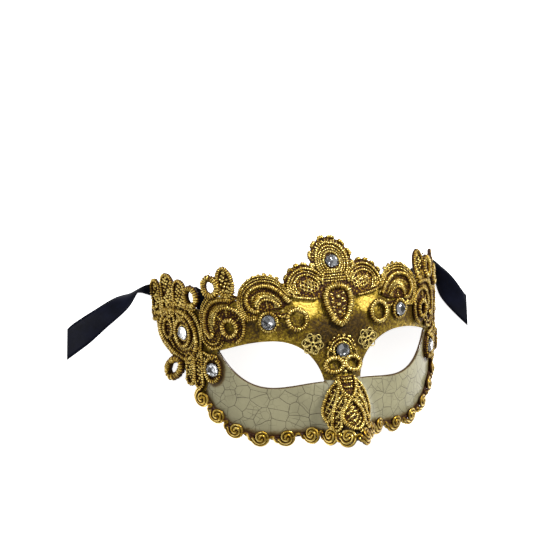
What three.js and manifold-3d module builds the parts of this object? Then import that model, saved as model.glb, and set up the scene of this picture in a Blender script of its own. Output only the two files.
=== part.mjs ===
// A half-face masquerade mask with gilded lace, a crackled cheek, rhinestones, rosette braid and
// satin ties, lying face up on the edges of its temples.
import * as THREE from 'three';
import { mergeVertices } from 'three/addons/utils/BufferGeometryUtils.js';
import Module from 'manifold-3d';

const wasm = await Module();
wasm.setup();

// The face of the mask. Lengths are millimetres. u runs round the head from the middle of the
// nose, v runs up towards the forehead, and h stands out along the surface's normal.
const WRAP_RADIUS = 80.5;
const DEPTH_RATIO = 0.8;
const SIDE_START = 100;
const BROW_LEAN = 19.2;
const BROW_START = 5;
const CHEEK_TUCK = 3.8;
const CHEEK_START = -10;
const BEND_SPAN = 50;
const NOSE_RISE = 34.6;
const NOSE_TOP = 2;
const NOSE_SPAN = 58;
const NOSE_POWER = 1.3;
const NOSE_WIDTH_TOP = 10;
const NOSE_WIDTH_GAIN = 5;

// How the mask lies: tipped back so that the temple edges and the hanging loops touch the table.
const REST_TILT = THREE.MathUtils.degToRad(19);
const REST_HEIGHT = 63;
const REST_SHIFT_Y = -4.69;

const SHELL_THICKNESS = 1.8;
const GLUE_GAP = 0.625;
const LACE_PLATE = 1.125;
const PLATE_TOP = GLUE_GAP + LACE_PLATE;
const CORD_HALF = 1.4;
const CORD_RISE = 0.9;
const CORD_SINK = 0.5;
const CORD_THIN = 1.1;
const LEAF_BELLY = 0.55;
const HOLE_REACH = 10;
const RING_HEIGHT = 2.25;
const RING_BEVEL = 0.625;
const STONE_RADIUS = 3.7;
const STONE_GIRDLE = 0.5;
const STONE_TABLE = 2.1;
const STONE_CROWN = 1.9;
const STONE_SIDES = 8;
const STONE_GAP = 0.3;
const SHELL_TOLERANCE = 0.5;
const LACE_TOLERANCE = 0.4;
const CONVEX_SHARE = 5;
const LONGEST_EDGE = 60;
const NORMAL_STEP = 0.05;
const MOST_SPLITS = 9;

// Facets of the round and bent shapes.
const PLATE_SIDES = 12;
const RING_SIDES = 10;
const HOLE_SIDES = 8;
const PINHOLE_SIDES = 6;
const CAP_STEPS = 4;
const LEAF_STEPS = 5;
const EYE_STEPS = 7;
const TOP_STEPS = 8;
const LOWER_STEPS = 16;
const MEDALLION_STEPS = 20;

const GOLD_LACE = { color: '#b8922a', roughness: 0.45, metalness: 1 };
const GOLD_BRAID = { color: '#b8922a', roughness: 0.4, metalness: 1 };
const CREAM = { color: '#b1ad96', roughness: 0.5, metalness: 0 };
const SATIN = { color: '#050818', roughness: 0.45, metalness: 0 };
const CRYSTAL = { color: '#dfe4ea', roughness: 0.05, metalness: 0 };
const WIRE = { color: '#8d7a4a', roughness: 0.5, metalness: 1 };

function facePoint(u, v) {
  const reach = Math.min(Math.abs(u), SIDE_START);
  const beyond = Math.abs(u) - reach;
  const turn = reach / WRAP_RADIUS;
  const end = SIDE_START / WRAP_RADIUS;
  const speed = Math.hypot(Math.cos(end), DEPTH_RATIO * Math.sin(end));
  const out = beyond * Math.cos(end) / speed;
  const down = beyond * DEPTH_RATIO * Math.sin(end) / speed;
  const fade = Math.cos(turn);
  const brow = Math.max(v - BROW_START, 0) / BEND_SPAN;
  const cheek = Math.max(CHEEK_START - v, 0) / BEND_SPAN;
  const along = THREE.MathUtils.clamp((NOSE_TOP - v) / NOSE_SPAN, 0, 1.2);
  const width = NOSE_WIDTH_TOP + NOSE_WIDTH_GAIN * along;
  const nose = NOSE_RISE * along ** NOSE_POWER * Math.exp(-((u / width) ** 2));
  const z = -DEPTH_RATIO * WRAP_RADIUS * (1 - fade) - down
    - fade * (BROW_LEAN * brow ** 2 + CHEEK_TUCK * cheek ** 2) + nose;
  return new THREE.Vector3(Math.sign(u) * (WRAP_RADIUS * Math.sin(turn) + out), v, z);
}

function faceNormal(u, v) {
  const across = facePoint(u + NORMAL_STEP, v).sub(facePoint(u - NORMAL_STEP, v));
  const up = facePoint(u, v + NORMAL_STEP).sub(facePoint(u, v - NORMAL_STEP));
  return across.cross(up).normalize();
}

function laidDown(point) {
  point.applyAxisAngle(new THREE.Vector3(1, 0, 0), REST_TILT);
  return point.add(new THREE.Vector3(0, REST_SHIFT_Y, REST_HEIGHT));
}

function place(u, v, h) {
  return laidDown(facePoint(u, v).addScaledVector(faceNormal(u, v), h));
}

// Solids and booleans.
function toSolid(geometry) {
  const bare = geometry.clone();
  bare.deleteAttribute('normal');
  bare.deleteAttribute('uv');
  const welded = mergeVertices(bare, 1e-4);
  return new wasm.Manifold(new wasm.Mesh({
    numProp: 3,
    vertProperties: new Float32Array(welded.attributes.position.array),
    triVerts: new Uint32Array(welded.index.array),
  }));
}

function toGeometry(solid) {
  const mesh = solid.getMesh();
  const geometry = new THREE.BufferGeometry();
  geometry.setAttribute('position', new THREE.BufferAttribute(new Float32Array(mesh.vertProperties), 3));
  geometry.setIndex(new THREE.BufferAttribute(new Uint32Array(mesh.triVerts), 1));
  return geometry;
}

function joined(solids) {
  return solids.reduce((sum, next) => sum.add(next));
}

function withoutAll(solid, cuts) {
  return cuts.reduce((rest, cut) => rest.subtract(cut), solid);
}

// Splits every edge that would leave the curved face by more than the tolerance.
function refined(points, triangles, tolerance, slack) {
  const placed = points.map((p) => place(...p));
  let faces = triangles;
  for (let round = 0; round < MOST_SPLITS; round += 1) {
    const middles = new Map();
    const middleOf = (a, b) => {
      const key = a < b ? `${a},${b}` : `${b},${a}`;
      if (!middles.has(key)) {
        const middle = points[a].map((value, axis) => (value + points[b][axis]) / 2);
        const spot = place(...middle);
        const chord = placed[a].clone().add(placed[b]).multiplyScalar(0.5);
        const rise = spot.clone().sub(chord);
        const outward = rise.dot(restNormal(middle[0], middle[1])) > 0;
        const allowed = outward ? slack * tolerance : tolerance;
        if (rise.length() > allowed || placed[a].distanceTo(placed[b]) > LONGEST_EDGE) {
          middles.set(key, points.push(middle) - 1);
          placed.push(spot);
        } else {
          middles.set(key, -1);
        }
      }
      return middles.get(key);
    };
    const next = [];
    for (const [a, b, c] of faces) {
      const ab = middleOf(a, b);
      const bc = middleOf(b, c);
      const ca = middleOf(c, a);
      next.push(...splitFace([a, b, c], [ab, bc, ca]));
    }
    if (next.length === faces.length) {
      break;
    }
    faces = next;
  }
  return { placed, faces };
}

function splitFace([a, b, c], [ab, bc, ca]) {
  const cut = [ab, bc, ca].filter((middle) => middle >= 0).length;
  if (cut === 0) {
    return [[a, b, c]];
  }
  if (cut === 3) {
    return [[a, ab, ca], [ab, b, bc], [ca, bc, c], [ab, bc, ca]];
  }
  if (cut === 1) {
    if (ab >= 0) {
      return [[a, ab, c], [ab, b, c]];
    }
    return splitFace([b, c, a], [bc, ca, ab]);
  }
  if (ca < 0) {
    return [[ab, b, bc], [a, ab, bc], [a, bc, c]];
  }
  return splitFace([b, c, a], [bc, ca, ab]);
}

// Bends a flat solid, whose x, y and z are u, v and h, over the face.
function overFace(solid, tolerance, slack = 1) {
  const mesh = solid.getMesh();
  const points = [];
  for (let i = 0; i < mesh.vertProperties.length; i += 3) {
    points.push(Array.from(mesh.vertProperties.slice(i, i + 3)));
  }
  const triangles = [];
  for (let i = 0; i < mesh.triVerts.length; i += 3) {
    triangles.push(Array.from(mesh.triVerts.slice(i, i + 3)));
  }
  const { placed, faces } = refined(points, triangles, tolerance, slack);
  const geometry = new THREE.BufferGeometry();
  geometry.setFromPoints(placed);
  geometry.setIndex(faces.flat());
  return geometry;
}

function mirrored(geometry) {
  const copy = geometry.clone();
  const position = copy.attributes.position;
  for (let i = 0; i < position.count; i += 1) {
    position.setX(i, -position.getX(i));
  }
  const order = Array.from(copy.index.array);
  for (let i = 0; i < order.length; i += 3) {
    [order[i], order[i + 1]] = [order[i + 1], order[i]];
  }
  copy.setIndex(order);
  return copy;
}

// Flat shapes in u and v.
function circle(cu, cv, ru, rv = ru, turn = 0, count = PLATE_SIDES) {
  const curve = new THREE.EllipseCurve(cu, cv, ru, rv, 0, 2 * Math.PI, false, turn);
  return curve.getPoints(count).slice(0, -1);
}

function scallops(cu, cv, ru, rv, picots, depth, from, to) {
  const points = [];
  for (let i = 0; i <= 2 * picots; i += 1) {
    const angle = THREE.MathUtils.degToRad(from + (to - from) * i / (2 * picots));
    const more = i % 2 ? depth : 0;
    points.push(new THREE.Vector2(cu + (ru + more) * Math.cos(angle), cv + (rv + more) * Math.sin(angle)));
  }
  return points;
}

function capsule(u0, v0, u1, v1, radius) {
  const heading = Math.atan2(v1 - v0, u1 - u0);
  const points = [];
  for (const [u, v, start] of [[u1, v1, -1], [u0, v0, 1]]) {
    for (let i = 0; i <= CAP_STEPS; i += 1) {
      const angle = heading + start * Math.PI / 2 + i * Math.PI / CAP_STEPS;
      points.push(new THREE.Vector2(u + radius * Math.cos(angle), v + radius * Math.sin(angle)));
    }
  }
  return points;
}

// A leaf that is widest a little past its middle.
function leaf(u0, v0, u1, v1, width) {
  const along = new THREE.Vector2(u1 - u0, v1 - v0);
  const side = new THREE.Vector2(-along.y, along.x).setLength(width);
  const middle = new THREE.Vector2(u0, v0).addScaledVector(along, LEAF_BELLY);
  const shape = new THREE.Shape();
  shape.moveTo(u0, v0);
  shape.quadraticCurveTo(middle.x - side.x, middle.y - side.y, u1, v1);
  shape.quadraticCurveTo(middle.x + side.x, middle.y + side.y, u0, v0);
  return shape.getPoints(LEAF_STEPS).slice(0, -1);
}

function slab(points, low, high) {
  const shape = new THREE.Shape(points);
  const geometry = new THREE.ExtrudeGeometry(shape, { depth: high - low, bevelEnabled: false });
  return toSolid(geometry.translate(0, 0, low));
}

function plate(points) {
  return slab(points, GLUE_GAP, PLATE_TOP);
}

function hole(points) {
  return slab(points, -HOLE_REACH, HOLE_REACH);
}

function pinhole(cu, cv, radius) {
  return hole(circle(cu, cv, radius, radius, 0, PINHOLE_SIDES));
}

function opening(cu, cv, ru, rv = ru, turn = 0) {
  return circle(cu, cv, ru, rv, turn, HOLE_SIDES);
}

// A rounded ring of wrapped cord round an opening.
function ring(outer, inner) {
  const shape = new THREE.Shape(outer);
  shape.holes.push(new THREE.Path(inner));
  const geometry = new THREE.ExtrudeGeometry(shape, {
    depth: RING_HEIGHT - 2 * RING_BEVEL,
    bevelEnabled: true,
    bevelThickness: RING_BEVEL,
    bevelSize: RING_BEVEL,
    bevelOffset: -RING_BEVEL,
    bevelSegments: 1,
  });
  return toSolid(geometry.translate(0, 0, GLUE_GAP + RING_BEVEL));
}

function roundRing([cu, cv], outer, inner) {
  return ring(circle(cu, cv, outer, outer, 0, RING_SIDES), opening(cu, cv, inner));
}

function arc(cu, cv, ru, rv, from, to, steps) {
  const points = [];
  for (let i = 0; i <= steps; i += 1) {
    const angle = THREE.MathUtils.degToRad(from + (to - from) * i / steps);
    points.push(new THREE.Vector3(cu + ru * Math.cos(angle), cv + rv * Math.sin(angle), PLATE_TOP));
  }
  return points;
}

function onPlate(points) {
  return points.map(([u, v]) => new THREE.Vector3(u, v, PLATE_TOP));
}

// A raised cord along flat points, half sunk in its plate.
function cord(points, half = CORD_HALF) {
  const section = new THREE.Shape();
  section.moveTo(-CORD_RISE, 0);
  section.lineTo(CORD_SINK, half);
  section.lineTo(CORD_SINK, -half);
  const path = new THREE.CatmullRomCurve3(points);
  const steps = points.length - 1;
  return toSolid(new THREE.ExtrudeGeometry(section, { steps, extrudePath: path, bevelEnabled: false }));
}

// The outline of the shell and the eye holes.
const TOP_EDGE = [[0, 41], [14, 38], [30, 34], [48, 31], [68, 27.5], [88, 22]];
const SIDE_EDGE = [
  [126, 21.3], [133, 19], [134, 4], [125, 1.5], [117, -5], [109, -11], [102, -17.5], [96, -22],
];
const LOWER_EDGE = [
  [90.5, -26.5], [86, -30], [76, -39], [63.5, -46.8], [47.5, -50.8], [32, -50.6], [19, -48.2],
  [11.5, -46.8], [5, -46], [0, -45.8],
];
const EYE_INNER = [11.4, -16.8];
const EYE_OUTER = [73.6, -0.4];

function smooth(points, count) {
  const curve = new THREE.SplineCurve(points.map((p) => new THREE.Vector2(...p)));
  return curve.getPoints(count);
}

function smoothLoop(points, count) {
  const curve = new THREE.CatmullRomCurve3(onPlate(points), true);
  return curve.getPoints(count).slice(0, -1).map((p) => new THREE.Vector2(p.x, p.y));
}

function shellOutline() {
  const side = SIDE_EDGE.map((p) => new THREE.Vector2(...p));
  const right = [...smooth(TOP_EDGE, TOP_STEPS), ...side, ...smooth(LOWER_EDGE, LOWER_STEPS)];
  const left = right.slice(1, -1).map((p) => new THREE.Vector2(-p.x, p.y)).reverse();
  return [...right, ...left].reverse();
}

function eyeOutline() {
  const shape = new THREE.Shape();
  shape.moveTo(...EYE_INNER);
  shape.bezierCurveTo(12.6, -5, 23, 6.6, 39.5, 6.4);
  shape.bezierCurveTo(52, 6.2, 60, 3.4, ...EYE_OUTER);
  shape.bezierCurveTo(64, -13.5, 53, -20.6, 38.5, -20.4);
  shape.bezierCurveTo(30, -20.2, 20, -18.4, ...EYE_INNER);
  return shape.getPoints(EYE_STEPS).slice(0, -1).reverse();
}

function floorCutter() {
  const size = 400;
  return toSolid(new THREE.BoxGeometry(size, size, size).translate(0, 0, -size / 2));
}

function maskShell() {
  const eye = eyeOutline();
  const other = eye.map((p) => new THREE.Vector2(-p.x, p.y));
  const body = withoutAll(slab(shellOutline(), -SHELL_THICKNESS, 0), [hole(eye), hole(other.reverse())]);
  const bent = toSolid(overFace(body, SHELL_TOLERANCE, CONVEX_SHARE));
  return toGeometry(bent.subtract(floorCutter()));
}

// Lace, each piece built in flat u and v for the right half or the middle.
const CREST_TOP = [0, 47.2];
const CREST_SIDE = [17, 33.4];
const TEAR_OUTER = [[0, 36.6], [6.5, 34.8], [9.4, 28.8], [7.6, 21.5], [3.4, 15], [0, 12.6]];
const TEAR_INNER = [[0, 33.2], [4, 31.8], [5.4, 27.8], [4.2, 22.2], [1.8, 18], [0, 16.8]];

function bothSides(points) {
  const right = points.map((p) => new THREE.Vector2(...p));
  const left = right.slice(1, -1).map((p) => new THREE.Vector2(-p.x, p.y)).reverse();
  return [...right, ...left].reverse();
}

function crestLace() {
  const parts = [plate(scallops(...CREST_TOP, 11.2, 11.2, 10, 2, -70, 250)), plate(circle(0, 36, 7))];
  parts.push(cord(arc(...CREST_TOP, 9.4, 9.4, -50, 230, 12)));
  for (const side of [1, -1]) {
    const centre = [side * CREST_SIDE[0], CREST_SIDE[1]];
    const turn = side > 0 ? [-22, 150] : [30, 202];
    parts.push(plate(scallops(...centre, 11.4, 11.4, 6, 1.8, ...turn)));
    parts.push(cord(arc(...centre, 9.4, 9.4, turn[0] + 6, turn[1] - 6, 7)));
  }
  const tear = ring(bothSides(TEAR_OUTER), bothSides(TEAR_INNER));
  return joined(parts).subtract(hole(bothSides(TEAR_INNER))).add(tear);
}

const BROW_ARCH = [41, 24.8];
const BROW_STONE = [41, 17.4];
const OPEN_RING = [24.6, 18.6];

function browLace() {
  const parts = [
    plate(scallops(...BROW_ARCH, 14.6, 14.6, 10, 1.9, -28, 208)),
    plate(circle(...BROW_STONE, 6.3)),
    cord(arc(...BROW_ARCH, 11.4, 11.4, -26, 206, 10), 1.5),
  ];
  const body = joined(parts).subtract(hole(circle(...CREST_SIDE, 13.9)));
  return joined([body, plate(capsule(29, 17.5, 36, 18, 1.6)), roundRing(OPEN_RING, 6.8, 4.2)]);
}

const SCROLL_EYE = [64.8, 13.6];
const SCROLL_ARCH = [67, 13.8];
const SCROLL_RING = [76, 35.4];
const SCROLL_LOOP = [65.6, 38];
const SCROLL_PINHOLE = [70.6, 32.6];

function scrollLace() {
  const rim = arc(...SCROLL_ARCH, 17.6, 17.6, -62, 108, 12);
  const sector = [...rim, ...arc(...SCROLL_ARCH, 5, 5, 108, -62, 3)];
  const parts = [
    plate(sector.map((p) => new THREE.Vector2(p.x, p.y))),
    plate(circle(...SCROLL_EYE, 9)),
    plate(circle(...SCROLL_LOOP, 6.3, 8.8)),
    cord(arc(...SCROLL_ARCH, 14.2, 14.2, -62, 106, 8), 1.6),
    cord(arc(...SCROLL_EYE, 7.6, 7.6, 60, 330, 8), CORD_THIN),
    cord(arc(...SCROLL_LOOP, 4.6, 6.9, -60, 240, 8), CORD_THIN),
    roundRing(SCROLL_RING, 6.9, 2.8),
  ];
  const openings = [opening(...SCROLL_EYE, 3.1), opening(...SCROLL_RING, 2.8)];
  return withoutAll(joined(parts), [...openings.map(hole), pinhole(...SCROLL_PINHOLE, 1.8)]);
}

const TEMPLE_STONE = [102, 7.2];
const LOOP_STONE = [77.4, -11.2];
const FAN_RING = [92.6, 28.8];
const FAN_PINHOLE = [99.4, 24.4];
const HANGING_LOOP = [109.6, -14.6];
const HANGING_TURN = THREE.MathUtils.degToRad(-39);
const FINGERS = [[123.7, 18, 125.1, 30.4, 4.1], [114, 20, 115, 33.4, 5.7], [103.2, 20, 103.8, 31.4, 5.5]];
const FRINGE = [[95.8, -7, 96, -18.6, 4], [88.8, -2.5, 88, -19.4, 3.8]];
const MEDALLION_EDGE = [
  [109, 21.9], [98.6, 21.9], [92, 19.6], [87.8, 14.6], [85.8, 7.6], [86.2, -0.2], [90, -6.6],
  [97, -9.6], [104, -9.4], [112, -6.8], [119.4, -1.8], [123.8, 3.8], [124.4, 10.4], [121.6, 16.4],
];
const MEDALLION_CORD = [
  [110.5, 18.6], [103, 18.8], [96, 16.6], [91.2, 11.6], [89.6, 4.4], [90.8, -2], [95.6, -6.2],
  [102.6, -6.8], [110, -4.6], [116.6, -0.2], [120.4, 4.8], [120.6, 10.6], [117.4, 15],
];

function templeLace() {
  const inner = opening(...HANGING_LOOP, 5, 2.7, HANGING_TURN);
  const parts = [
    plate(smoothLoop(MEDALLION_EDGE, MEDALLION_STEPS)),
    plate(circle(123.6, 16, 6.8)),
    ...[...FINGERS, ...FRINGE].map((f) => plate(capsule(...f))),
    cord(onPlate(MEDALLION_CORD), 1.5),
    cord(arc(...TEMPLE_STONE, 8.4, 8, -150, 150, 9), 1.2),
    plate(circle(...LOOP_STONE, 6.6, 8.6)),
    cord(arc(...LOOP_STONE, 5.3, 7, -175, 175, 8), CORD_THIN),
    plate(opening(84.4, -7.4, 2.8)),
    roundRing(FAN_RING, 6.6, 2.7),
    ring(circle(...HANGING_LOOP, 10.2, 6.2, HANGING_TURN, RING_SIDES), inner),
  ];
  const cuts = [hole(inner), hole(opening(...FAN_RING, 2.7)), pinhole(...FAN_PINHOLE, 1.4)];
  return withoutAll(joined(parts), cuts);
}

const BRIDGE_STONE = [0, -0.4];
const BRIDGE_STONE_RISE = 0.9;
const BRIDGE_RING = [5.2, -8];

function bridgeLace() {
  const parts = [plate(scallops(0, 1.2, 6.4, 6.4, 8, 1.2, -20, 200)), plate(circle(0, -3.4, 5))];
  const [u, v] = BRIDGE_RING;
  const openings = [opening(u, v, 3.4, 2.5), opening(-u, v, 3.4, 2.5)];
  const rings = [circle(u - 0.2, v, 6, 5.1, 0, RING_SIDES), circle(0.2 - u, v, 6, 5.1, 0, RING_SIDES)];
  rings.forEach((outer, i) => parts.push(ring(outer, openings[i])));
  return withoutAll(joined(parts), openings.map(hole));
}

const LADDER_FOOT = [0, -18.6];
const LADDER_TOP = -14.4;
const OUTER_LEAF_CORD = [[5, -19], [8.8, -27], [11.4, -35.4]];
const INNER_LEAF_CORD = [[2.4, -23.5], [5.6, -31], [7.8, -38.4]];

function noseLace() {
  const foot = arc(...LADDER_FOOT, 5, 5.4, 180, 360, 6).map((p) => new THREE.Vector2(p.x, p.y));
  const ladder = [...foot, new THREE.Vector2(5, LADDER_TOP), new THREE.Vector2(-5, LADDER_TOP)];
  const parts = [
    plate(ladder),
    plate(leaf(0, -22, 0, -41.5, 5.6)),
    cord(onPlate([[0, -22], [0, -40]]), CORD_THIN),
  ];
  for (const side of [1, -1]) {
    parts.push(plate(leaf(side * 4, -16.5, side * 12.4, -38.6, 4.6)));
    parts.push(plate(leaf(side * 1.4, -21, side * 8.4, -40.8, 4.6)));
    for (const line of [OUTER_LEAF_CORD, INNER_LEAF_CORD]) {
      parts.push(cord(onPlate(line.map(([u, v]) => [side * u, v])), 1.2));
    }
  }
  return joined(parts);
}

const FLOWER = [16.6, 4.6];
const FLOWER_THICKNESS = 0.9;

function flower() {
  const petals = scallops(...FLOWER, 4.4, 4.4, 6, 2.2, 0, 360).slice(0, -1);
  return slab(petals, GLUE_GAP, GLUE_GAP + FLOWER_THICKNESS).subtract(pinhole(...FLOWER, 1.2));
}

// Turns a profile of radii and heights round the face's normal.
function turned(profile, sides, u, v, lift) {
  const solid = new THREE.LatheGeometry(profile.map((p) => new THREE.Vector2(...p)), sides);
  const up = new THREE.Vector3(0, 1, 0);
  solid.applyQuaternion(new THREE.Quaternion().setFromUnitVectors(up, restNormal(u, v)));
  const foot = place(u, v, lift);
  return toSolid(solid.translate(foot.x, foot.y, foot.z));
}

// A flat-backed rhinestone, standing on its lace.
function rhinestone(u, v, lift) {
  const crown = [[STONE_TABLE, STONE_CROWN], [0, STONE_CROWN]];
  const profile = [[0, 0], [STONE_RADIUS, 0], [STONE_RADIUS, STONE_GIRDLE], ...crown];
  return toGeometry(turned(profile, STONE_SIDES, u, v, lift));
}

function restNormal(u, v) {
  return faceNormal(u, v).applyAxisAngle(new THREE.Vector3(1, 0, 0), REST_TILT);
}

// The rosette braid: rosettes along the lower edge, joined by a twisted strand. Their places are
// distances along the braid, out of its whole run.
const BRAID_EDGE = [
  [91.2, -27.6], [85, -29.4], [74.4, -37.4], [62.2, -45.2], [47, -49.2], [32, -49], [19.2, -46.7],
  [11.5, -45.3], [5, -44.5], [0, -44.3],
];
const ROSETTES = [
  3.8, 17.3, 31.3, 46.8, 61.6, 76.4, 89.6, 102.2, 115.4, 131.2, 146.6, 161.8, 176.4, 190.4, 203.6, 215.2,
];
const BRAID_RUN = 218;
const BRAID_HALF = 1.7;
const BRAID_LIFT = 2.3;
const BRAID_STEPS = 28;
const BRAID_SAMPLES = 4 * BRAID_STEPS;
const ROSETTE_RADIUS = 4.5;
const ROSETTE_SHOULDER = [3.9, 2];
const ROSETTE_HEIGHT = 3.4;
const ROSETTE_LIFT = 0.75;
const ROSETTE_SIDES = 6;

function braidCurve() {
  const left = BRAID_EDGE.slice(0, -1).map(([u, v]) => [-u, v]);
  const all = [...left, ...BRAID_EDGE.toReversed()];
  return new THREE.SplineCurve(all.map((p) => new THREE.Vector2(...p)));
}

function rosetteBraid() {
  const flat = braidCurve().getPoints(BRAID_SAMPLES);
  const samples = flat.map((p) => place(p.x, p.y, BRAID_LIFT));
  const path = new THREE.CatmullRomCurve3(samples);
  const options = { steps: BRAID_STEPS, extrudePath: path, bevelEnabled: false };
  const section = new THREE.Shape(circle(0, 0, BRAID_HALF, BRAID_HALF, 0, 4));
  const parts = [toSolid(new THREE.ExtrudeGeometry(section, options))];
  const runs = [0];
  for (let i = 1; i < samples.length; i += 1) {
    runs.push(runs[i - 1] + samples[i].distanceTo(samples[i - 1]));
  }
  const profile = [[0, 0], [ROSETTE_RADIUS, 0], ROSETTE_SHOULDER, [0, ROSETTE_HEIGHT]];
  for (const distance of ROSETTES) {
    const target = runs.at(-1) * distance / BRAID_RUN;
    const { x, y } = flat[runs.findIndex((run) => run >= target)];
    parts.push(turned(profile, ROSETTE_SIDES, x, y, ROSETTE_LIFT));
  }
  return toGeometry(joined(parts));
}

// The satin ties. Each is glued inside a temple, comes down behind it and is folded into a hank
// that stands on its edge under the mask, then runs out past the corner of the temple. A station
// is a point, and the direction and share of the ribbon's width there, all before the shift.
const RIBBON_WIDTH = 15;
const RIBBON_THICKNESS = 0.8;
const RIBBON_SIDES = 8;
const LEAD_STEPS = 6;
const TAIL_STEPS = 20;
const LEAD_DEPTH = -4.4;
const LEAD_ON_WALL = [[78, 24], [85, 25.4], [92, 27]];
const LEAD_DOWN = [
  [69, 39.4, 24.5, 0, 0.9, -0.1],
  [66, 36.5, 17, 0, 0.95, 0],
];
const HANK_MIDDLE = 7.9;
const HANK_ROUND = 3.4;
const HANK_STEPS = 3;
const HANK_FRONT = 18;
const HANK_BACK = 36;
const HANK_OUTER = 69;
const HANK_INNER = { left: 27, right: 18 };
const TAIL_START = [
  [72.8, 18, 7.9, 0, 0, 1],
  [76.2, 21.5, 7.6, 0, 0, 0.95],
  [77.7, 29, 6.9, 0, 0, 0.85],
  [79.6, 38, 6, 0.05, 0, 0.72],
  [83.2, 44.8, 4.2, -0.15, 0.25, 0.48],
  [87, 48.6, 2.7, -0.05, 0.4, 0.25],
];
const TAIL_END = {
  left: [
    [91.2, 50.2, 2.9, 0, 0.35, 0.3],
    [97, 49.4, 4.3, 0.03, 0.04, 0.45],
    [107.3, 43.8, 4.2, -0.3, -0.52, 0.4],
    [121.1, 35.7, 1.8, -0.42, -0.72, 0.15],
    [132, 29, 0.7, -0.5, -0.84, 0],
    [141.2, 23.4, 0.7, 0.15, -1.18, 0],
  ],
  right: [
    [91, 49.2, 2.7, 0.04, 0.38, 0.25],
    [94, 45, 3.8, 0.25, 0.22, 0.42],
    [96.6, 39.4, 4.4, 0.48, 0.33, 0.44],
    [100, 32.5, 3.7, 0.66, 0.5, 0.36],
    [106, 24.5, 1.9, 0.66, 0.6, 0.14],
    [112.1, 18.5, 0.7, 0.14, 1.3, 0],
  ],
};

function wallStation([u, v]) {
  const at = place(u, v, LEAD_DEPTH);
  const wide = place(u, v + 1, LEAD_DEPTH).sub(place(u, v - 1, LEAD_DEPTH)).normalize();
  return [at.x, at.y - REST_SHIFT_Y, at.z, ...wide.toArray()];
}

// Bends a straight flat strip along its stations, which are given on the right-hand side.
function strip(stations, steps) {
  const section = new THREE.Shape(circle(0, 0, RIBBON_WIDTH / 2, RIBBON_THICKNESS / 2, 0, RIBBON_SIDES));
  const geometry = new THREE.ExtrudeGeometry(section, { depth: 1, steps, bevelEnabled: false });
  const places = stations.map(([x, y, z]) => new THREE.Vector3(x, y + REST_SHIFT_Y, z));
  const centre = new THREE.CatmullRomCurve3(places);
  const width = new THREE.CatmullRomCurve3(stations.map((s) => new THREE.Vector3(...s.slice(3))));
  const position = geometry.attributes.position;
  for (let i = 0; i < position.count; i += 1) {
    const along = THREE.MathUtils.clamp(position.getZ(i), 0, 1);
    const across = width.getPoint(along);
    const through = centre.getTangent(along).cross(across).normalize();
    const point = centre.getPoint(along).addScaledVector(across, position.getX(i));
    point.addScaledVector(through, position.getY(i));
    position.setXYZ(i, ...point.toArray());
  }
  return toGeometry(toSolid(geometry));
}

function hank(inner) {
  const front = HANK_FRONT + REST_SHIFT_Y;
  const back = HANK_BACK + REST_SHIFT_Y;
  const outline = new THREE.Shape();
  outline.absarc(HANK_OUTER, front, HANK_ROUND, -Math.PI / 2, 0);
  outline.absarc(HANK_OUTER, back, HANK_ROUND, 0, Math.PI / 2);
  outline.absarc(inner, back, HANK_ROUND, Math.PI / 2, Math.PI);
  outline.absarc(inner, front, HANK_ROUND, Math.PI, 3 * Math.PI / 2);
  const options = { depth: RIBBON_WIDTH, curveSegments: HANK_STEPS, bevelEnabled: false };
  return new THREE.ExtrudeGeometry(outline, options).translate(0, 0, HANK_MIDDLE - RIBBON_WIDTH / 2);
}

const group = new THREE.Group();

function add(name, geometry, finish) {
  const mesh = new THREE.Mesh(geometry, new THREE.MeshStandardMaterial(finish));
  mesh.name = name;
  group.add(mesh);
}

function addPair(name, geometry, finish) {
  add(`${name}_right`, geometry, finish);
  add(`${name}_left`, mirrored(geometry), finish);
}

function addLace() {
  const onFace = (solid) => overFace(solid, LACE_TOLERANCE);
  add('crest_lace', onFace(crestLace()), GOLD_LACE);
  addPair('brow_lace', onFace(browLace()), GOLD_LACE);
  addPair('scroll_lace', onFace(scrollLace()), GOLD_LACE);
  const temple = toSolid(onFace(templeLace())).subtract(floorCutter());
  addPair('temple_lace', toGeometry(temple), GOLD_LACE);
  add('bridge_lace', onFace(bridgeLace()), GOLD_LACE);
  add('nose_lace', onFace(noseLace()), GOLD_LACE);
  addPair('flower', onFace(flower()), WIRE);
}

function addStones() {
  const lift = PLATE_TOP + STONE_GAP;
  add('rhinestone_crest', rhinestone(...CREST_TOP, lift), CRYSTAL);
  add('rhinestone_bridge', rhinestone(...BRIDGE_STONE, lift + BRIDGE_STONE_RISE), CRYSTAL);
  addPair('rhinestone_brow', rhinestone(...BROW_STONE, lift), CRYSTAL);
  addPair('rhinestone_loop', rhinestone(...LOOP_STONE, lift), CRYSTAL);
  addPair('rhinestone_temple', rhinestone(...TEMPLE_STONE, lift), CRYSTAL);
}

function addRibbons() {
  const lead = strip([...LEAD_ON_WALL.map(wallStation), ...LEAD_DOWN], LEAD_STEPS);
  for (const side of ['left', 'right']) {
    const sided = (geometry) => (side === 'left' ? mirrored(geometry) : geometry);
    const slack = toGeometry(toSolid(hank(HANK_INNER[side])));
    add(`ribbon_${side}_lead`, sided(lead), SATIN);
    add(`ribbon_${side}_slack`, sided(slack), SATIN);
    add(`ribbon_${side}`, sided(strip([...TAIL_START, ...TAIL_END[side]], TAIL_STEPS)), SATIN);
  }
}

add('mask_shell', maskShell(), CREAM);
addLace();
addStones();
add('rosette_braid', rosetteBraid(), GOLD_BRAID);
addRibbons();

export default group;
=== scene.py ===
"""A half-face masquerade mask: gilded lace, crackled cheeks, crystals, rosette braid and satin ties."""
import math
from functools import partialmethod

import bmesh
import bpy
import numpy as np
from bpy.props import FloatProperty, FloatVectorProperty, IntProperty, PointerProperty
from mathutils import Matrix, Vector
from mathutils.geometry import delaunay_2d_cdt


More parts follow.
